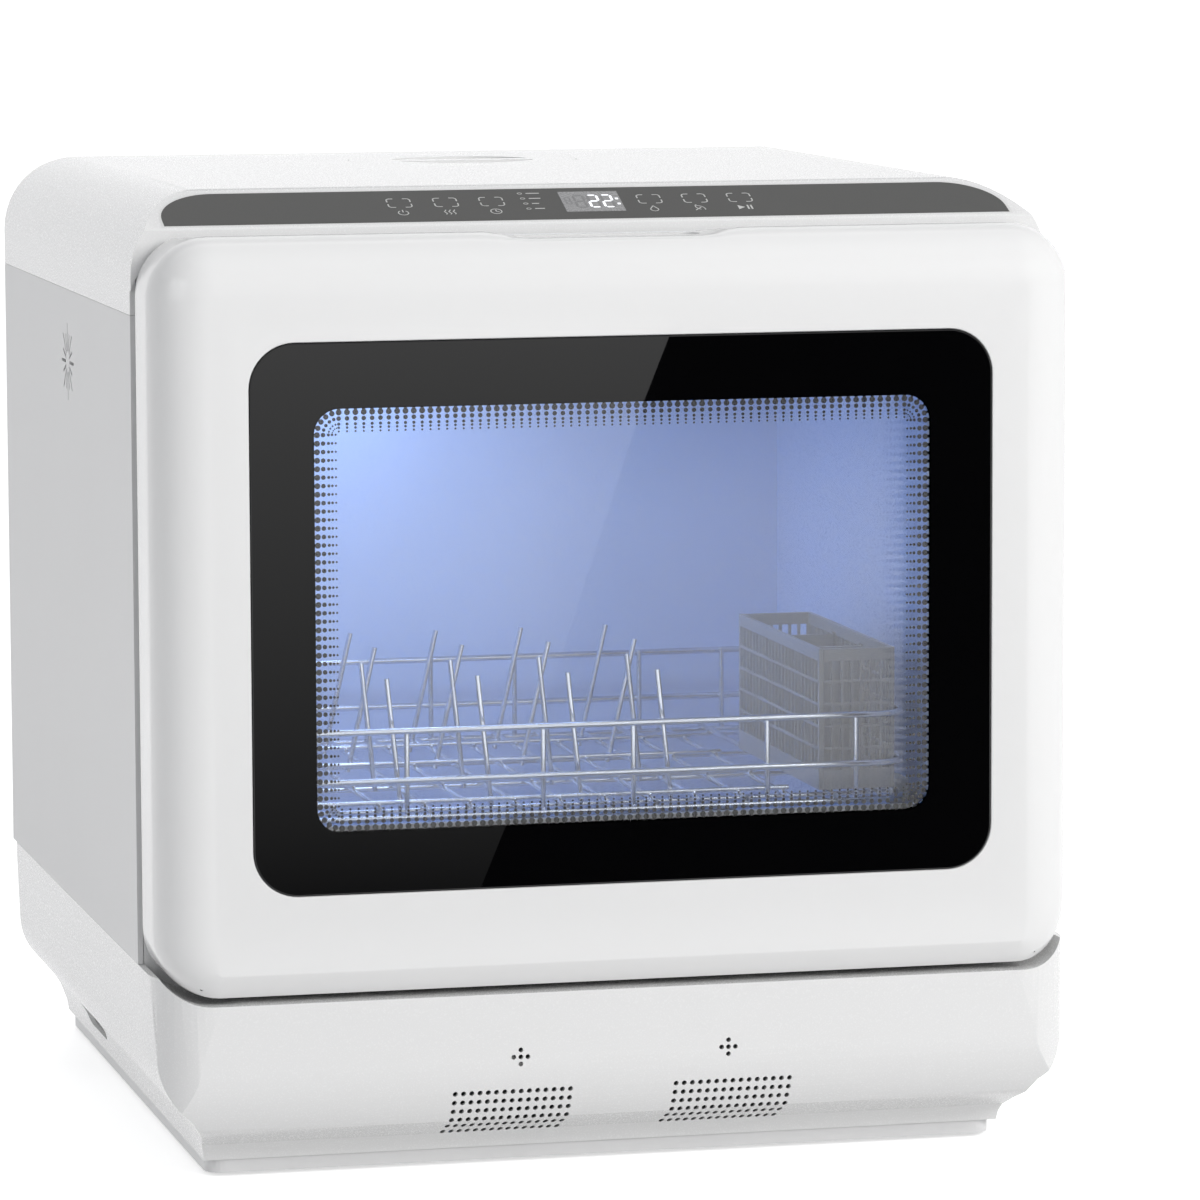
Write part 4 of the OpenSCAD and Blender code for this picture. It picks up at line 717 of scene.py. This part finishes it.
marks += stroke(arcPoints(px[4] - 1.2, icon - 1.2, 3.6, -10, 80, 8)
                + arcPoints(px[4] + 1.8, icon + 1.6, 3.4, 150, 245, 8), thin)
marks += stroke([(px[4] - 2.2, icon - 2.4), (px[4] + 0.8, icon + 0.6)], thin)
marks.append([(px[5] - 3.0, icon - 2.2), (px[5] + 0.2, icon), (px[5] - 3.0, icon + 2.2)])
marks += stroke([(px[5] + 1.6, icon - 2.0), (px[5] + 1.6, icon + 2.0)], 0.8)
marks += stroke([(px[5] + 3.2, icon - 2.0), (px[5] + 3.2, icon + 2.0)], 0.8)
# four programme lines, each a small sign and a dash
for k in range(4):
    u = 30.6 - k * 5.4
    x = -28.0 + k * 0.3
    marks += stroke(arcPoints(x, u, 1.0, 0, 360, 10, 0.8), 0.4)
    marks += stroke([(x + 3.0, u), (x + 3.0 + (5.8, 5.0, 3.0, 4.2)[k], u)], 0.75)
flatShapes("strip_marks", marks, "mark", strip["markLift"])

display = {"x0": -10.4, "x1": 16.9, "u0": 10.4, "u1": 31.7}
flatShapes("display_face", [[(display["x0"], display["u0"]), (display["x1"], display["u0"]),
                             (display["x1"], display["u1"]), (display["x0"], display["u1"])]],
           "display", -0.015)


def digitSegments(x, u, wide, tall, thick, lit):
    # the seven bars of one figure, sorted into lit and dark ones
    right, middle, top = x + wide, u + tall / 2, u + tall
    bars = {
        "a": [(x, top), (right, top)], "g": [(x, middle), (right, middle)], "d": [(x, u), (right, u)],
        "f": [(x, middle), (x, top)], "b": [(right, middle), (right, top)],
        "e": [(x, u), (x, middle)], "c": [(right, u), (right, middle)],
    }
    on, off = [], []
    for key, (a, b) in bars.items():
        dx, dy = b[0] - a[0], b[1] - a[1]
        length = math.hypot(dx, dy)
        ux, uy = dx / length, dy / length
        gapEnd, t = thick * 0.28, thick / 2
        a2 = (a[0] + ux * gapEnd, a[1] + uy * gapEnd)
        b2 = (b[0] - ux * gapEnd, b[1] - uy * gapEnd)
        bar = [a2, (a2[0] + ux * t - uy * t, a2[1] + uy * t + ux * t),
               (b2[0] - ux * t - uy * t, b2[1] - uy * t + ux * t),
               b2, (b2[0] - ux * t + uy * t, b2[1] - uy * t - ux * t),
               (a2[0] + ux * t + uy * t, a2[1] + uy * t - ux * t)]
        (on if key in lit else off).append(bar)
    return on, off


lit, dark = [], []
for x, segments in ((-4.2, ""), (2.2, "abged"), (8.6, "abged")):
    on, off = digitSegments(x, 15.0, 4.3, 12.6, 1.15, segments)
    lit += on
    dark += off
# a small unlit figure at the left
on, off = digitSegments(-8.6, 18.6, 2.4, 7.0, 0.6, "")
dark += off
for u in (18.2, 23.6):
    lit.append([(14.6, u - 0.8), (16.0, u - 0.8), (16.0, u + 0.8), (14.6, u + 0.8)])
flatShapes("display_digits", lit, "segmentOn", 0.01)
flatShapes("display_unlit", dark, "segmentOff", 0.008)
print("stage: control strip")

# front glass, its print and the inner pane

x0, x1, z0, z1 = glass["window"]


def plateRing(grow, depth):
    return [at(x, depth, z) for x, z, _, _ in roundRect(
        -glass["x"] - grow, glass["x"] + grow, glass["low"] - grow, glass["high"] + grow,
        glass["r"] + grow, 16)]


windowOutline = roundRect(x0, x1, z0, z1, glass["windowR"], 16)
plateRings = [[at(p[0], glass["t"], p[1]) for p in windowOutline], plateRing(-0.3, glass["t"]),
              plateRing(0.0, glass["t"] - 0.3), plateRing(0.0, 0.55), plateRing(-0.16, 0.2),
              plateRing(-0.6, 0.0),
              [at(p[0], 0.0, p[1]) for p in windowOutline]]
plate = loft("front_glass_plate", plateRings, "glass", "door", caps=(True, True), replaced=("door_glass",))
plate.data.materials.append(finish["blackGlass"])
for f in plate.data.polygons:
    # all but the window itself is printed black
    f.material_index = 0 if len(f.vertices) > 4 else 1
smooth(plate, 40)

# the dotted edge: teeth at the rim, then rows of dots that shrink inwards
frit = {"pitch": 3.7, "dots": ((1.8, 1.32), (4.5, 1.02), (6.9, 0.70), (8.5, 0.58), (10.1, 0.47)),
        "neck": 0.72, "depth": glass["t"] + 0.07}
verts, faces = [], []


def addDisc(x, z, r, n=14):
    # one round dot
    k = len(verts)
    for i in range(n):
        a = 2 * math.pi * i / n
        verts.append(at(x + r * math.cos(a), frit["depth"], z + r * math.sin(a)))
    faces.append(tuple(range(k, k + n)))


def addColumn(x, z, nx, nz, rows=5, shrink=1.0):
    # one column of the dotted edge; (nx, nz) points inwards
    tx, tz = -nz, nx
    k = len(verts)
    half = frit["neck"] * shrink
    for a, b in ((-half, -0.3), (half, -0.3), (half, 1.8), (-half, 1.8)):
        verts.append(at(x + tx * a + nx * b, frit["depth"], z + tz * a + nz * b))
    faces.append(tuple(range(k, k + 4)))
    for inset, r in frit["dots"][:rows]:
        crowd = 1 - (1 - shrink) * inset / 4
        addDisc(x + nx * inset, z + nz * inset, r * max(0.35, crowd))


r = glass["windowR"]
cols = round((x1 - x0 - 2 * r) / frit["pitch"])
rows = round((z1 - z0 - 2 * r) / frit["pitch"])
for i in range(cols + 1):
    x = x0 + r + (x1 - x0 - 2 * r) * i / cols
    addColumn(x, z0, 0, 1)
    addColumn(x, z1, 0, -1)
for i in range(rows + 1):
    z = z0 + r + (z1 - z0 - 2 * r) * i / rows
    addColumn(x0, z, 1, 0)
    addColumn(x1, z, -1, 0)
turn = 5                  # steps of the dotted edge round a corner
for cx, cz, a0 in ((x1 - r, z1 - r, 0), (x0 + r, z1 - r, 90), (x0 + r, z0 + r, 180), (x1 - r, z0 + r, 270)):
    for i in range(1, turn):
        a = math.radians(a0 + 90 * i / turn)
        addColumn(cx + r * math.cos(a), cz + r * math.sin(a), -math.cos(a), -math.sin(a), 4, 0.8)
dots = newObject("window_dots", meshFrom("window_dots", verts, faces), "print", "door")
solid = dots.modifiers.new("thick", "SOLIDIFY")
solid.thickness = 0.00004

pane = {"half": 152, "low": 152.0, "high": 359.0, "r": 12, "front": 20.0, "back": 24.0}
slab("inner_pane", roundRect(-pane["half"], pane["half"], pane["low"], pane["high"], pane["r"], 8),
     pane["front"], pane["back"], "pane", "door", ("inner_glass",), 0.0005)
print("stage: glass and print")

# lamp

lampLens = {"half": 55, "deep": 8, "r": 7.5, "d": 95, "z": (384.0, 388.0)}
lampOutline = roundRect(-lampLens["half"], lampLens["half"], -lampLens["deep"], lampLens["deep"],
                        lampLens["r"], 8)
lampRings = [[at(p[0], lampLens["d"] + p[1], z) for p in lampOutline] for z in lampLens["z"]]
lamp = loft("lamp_lens", lampRings, "lamp", "cabinet", caps=(True, True), replaced=("interior_lamp",))
smooth(lamp, 30, 0.0006)


def areaLight(name, place, target, size, power, color, sizeY=None):
    # a soft box at a place, aimed at a target
    data = bpy.data.lights.new(name, "AREA")
    data.shape = "RECTANGLE"
    data.size = size
    data.size_y = sizeY or size
    data.energy = power
    data.color = color
    o = linked(name, data)
    o.location = place
    o.rotation_euler = (Vector(target) - Vector(place)).to_track_quat("-Z", "Y").to_euler()
    return o


inside = areaLight("tub_light", at(-100, 130, 376), at(-115, 330, 250), 0.14, 0.36,
                   (0.62, 0.76, 1.0), 0.08)
insideBack = areaLight("tub_light_back", at(-95, 300, 362), at(-95, 330, 150), 0.14, 0.10,
                       (0.55, 0.70, 1.0), 0.05)
for o in (inside, insideBack):
    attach(o, "cabinet")
    o.visible_camera = False

# stage
floorGlow = 0.62          # lifts the pale floor to white for the camera, and its shadow stays


def backdrop():
    # a pale floor that curves up into a wall far behind
    profile = [(-6.0, 0.0), (2.2, 0.0)]
    for i in range(1, 17):
        a = math.pi / 2 * i / 16
        profile.append((2.2 + 1.4 * math.sin(a), 1.4 - 1.4 * math.cos(a)))
    profile.append((3.6, 5.0))
    xs = (-7.0, 7.0)
    pts = [(x, y, z) for y, z in profile for x in xs]
    quads = [(2 * i, 2 * i + 1, 2 * i + 3, 2 * i + 2) for i in range(len(profile) - 1)]
    mesh = meshFrom("studio_floor", pts, quads)
    o = linked("studio_floor", mesh)
    paper = surface("floor_paper", (0.80, 0.80, 0.80), 0.55, 0.004, 0.03, grain=0.00002, grainScale=400)
    t = paper.node_tree
    out = t.nodes["Material Output"]
    path = addNode(t, "ShaderNodeLightPath")
    seen = addNode(t, "ShaderNodeMath", {0: path.outputs["Is Camera Ray"], 1: path.outputs["Is Glossy Ray"]},
                   operation="MAXIMUM")
    both = addNode(t, "ShaderNodeMath", {0: seen.outputs[0], 1: path.outputs["Is Transmission Ray"]},
                   operation="MAXIMUM")
    level = addNode(t, "ShaderNodeMath", {0: both.outputs[0], 1: floorGlow}, operation="MULTIPLY")
    light = addNode(t, "ShaderNodeEmission", {"Color": (1, 1, 1, 1), "Strength": level.outputs[0]})
    added = addNode(t, "ShaderNodeAddShader", {0: out.inputs[0].links[0].from_socket, 1: light.outputs[0]})
    t.links.new(added.outputs[0], out.inputs[0])
    mesh.materials.append(paper)
    mesh.shade_smooth()


backdrop()
world = bpy.data.worlds.new("studio")
world.use_nodes = True
bpy.context.scene.world = world
t = world.node_tree
background = t.nodes["Background"]
background.inputs[0].default_value = (0.95, 0.96, 1.0, 1)
background.inputs[1].default_value = 0.30
seenWhite = addNode(t, "ShaderNodeBackground", {"Color": (1, 1, 1, 1), "Strength": 1.0})
path = addNode(t, "ShaderNodeLightPath")
direct = addNode(t, "ShaderNodeMath",
                 {0: path.outputs["Is Camera Ray"], 1: path.outputs["Is Transmission Ray"]},
                 operation="MAXIMUM")
seen = addNode(t, "ShaderNodeMath", {0: direct.outputs[0], 1: path.outputs["Is Glossy Ray"]},
               operation="MAXIMUM")
mixed = addNode(t, "ShaderNodeMixShader",
                {0: seen.outputs[0], 1: background.outputs[0], 2: seenWhite.outputs[0]})
t.links.new(mixed.outputs[0], t.nodes["World Output"].inputs[0])

# soft boxes: name, place, aim, size, power, colour
studio = (
    ("top_box", (0.2, -0.3, 2.6), (0, 0, 0.2), 2.6, 7, (1, 1, 1)),
    ("front_right_box", (1.9, -2.6, 1.6), (0, -0.1, 0.25), 1.6, 68, (1, 0.995, 0.99)),
    ("left_fill", (-2.6, -1.4, 1.2), (0, 0, 0.2), 1.8, 13, (0.98, 0.99, 1)),
    ("back_wash", (0.0, 1.2, 2.6), (0, 3.2, 1.0), 2.4, 18, (1, 1, 1)),
)
for row in studio:
    lampBox = areaLight(*row)
    # the strong front box would burn out the top when it is seen from behind
    lampBox.visible_glossy = row[0] != "front_right_box"


def card(name, corners, material):
    # a sheet that only the glass and other glossy faces see
    mesh = meshFrom(name, corners, [(0, 1, 2, 3)])
    o = linked(name, mesh)
    mesh.materials.append(material)
    o.visible_camera = False
    o.visible_diffuse = False
    o.visible_transmission = False
    o.visible_volume_scatter = False
    o.visible_shadow = False


# camera

shot = {"place": (-0.6655, -2.9102, 0.5834), "yaw": 13.640, "pitch": 6.688, "roll": -0.223, "lens": 190.2,
        "sensor": 36.0, "frame": 1200}
yaw, pitch, roll = (math.radians(shot[k]) for k in ("yaw", "pitch", "roll"))
ahead = Vector((math.sin(yaw) * math.cos(pitch), math.cos(yaw) * math.cos(pitch), -math.sin(pitch)))
right = Vector((math.cos(yaw), -math.sin(yaw), 0))
up = right.cross(ahead)
right, up = (math.cos(roll) * right + math.sin(roll) * up, -math.sin(roll) * right + math.cos(roll) * up)
camData = bpy.data.cameras.new("camera")
camData.lens = shot["lens"]
camData.sensor_width = shot["sensor"]
camera = linked("camera", camData)
turnTo = Matrix((right, up, -ahead)).transposed()
camera.matrix_world = Matrix.Translation(shot["place"]) @ turnTo.to_4x4()
bpy.context.scene.camera = camera


def mirrored(px, py, plane):
    # where the reflection seen at a picture point in the door's glass falls on an upright plane
    f = shot["lens"] / shot["sensor"] * shot["frame"]
    ray = ahead + right * ((px - shot["frame"] / 2) / f) - up * ((py - shot["frame"] / 2) / f)
    origin = Vector(shot["place"])
    face = -bodyDepth / 2000
    point = origin + ray * ((face - origin.y) / ray.y)
    back = Vector((ray.x, -ray.y, ray.z))
    return point + back * ((plane - point.y) / back.y)


# the flag keeps the glass black, and the glare card lights its left-hand part
flagPlane, cardPlane = -0.66, -0.62
flagSurface, t = nodeTree("flag_black")
shade = addNode(t, "ShaderNodeBsdfDiffuse", {"Color": (0.002, 0.002, 0.002, 1)})
t.links.new(shade.outputs[0], addNode(t, "ShaderNodeOutputMaterial").inputs[0])
lo, hi = mirrored(235, 910, flagPlane), mirrored(1010, 320, flagPlane)
lowX, highX, lowZ, highZ = lo.x - 0.03, hi.x + 0.03, lo.z - 0.02, hi.z + 0.02
card("glass_flag", [(lowX, flagPlane, lowZ), (highX, flagPlane, lowZ), (highX, flagPlane, highZ),
                    (lowX, flagPlane, highZ)], flagSurface)
glareSurface, t = nodeTree("glare_light")
coords = addNode(t, "ShaderNodeTexCoord")
split = addNode(t, "ShaderNodeSeparateXYZ", {0: coords.outputs["Object"]})
foot, head = mirrored(480, 905, cardPlane), mirrored(672, 315, cardPlane)
fade = addNode(t, "ShaderNodeMapRange", {
    "Value": split.outputs[2], "From Min": foot.z, "From Max": head.z, "To Min": 0.12, "To Max": 1.15})
glare = addNode(t, "ShaderNodeEmission", {"Color": (1, 1, 1, 1), "Strength": fade.outputs[0]})
t.links.new(glare.outputs[0], addNode(t, "ShaderNodeOutputMaterial").inputs[0])
far = mirrored(225, 905, cardPlane)
card("glare_card", [(far.x, cardPlane, foot.z), (foot.x, cardPlane, foot.z), (head.x, cardPlane, head.z),
                    (far.x, cardPlane, head.z)], glareSurface)

scene = bpy.context.scene
scene.view_settings.view_transform = "Standard"
scene.view_settings.look = "None"
print("stage: lights and camera")
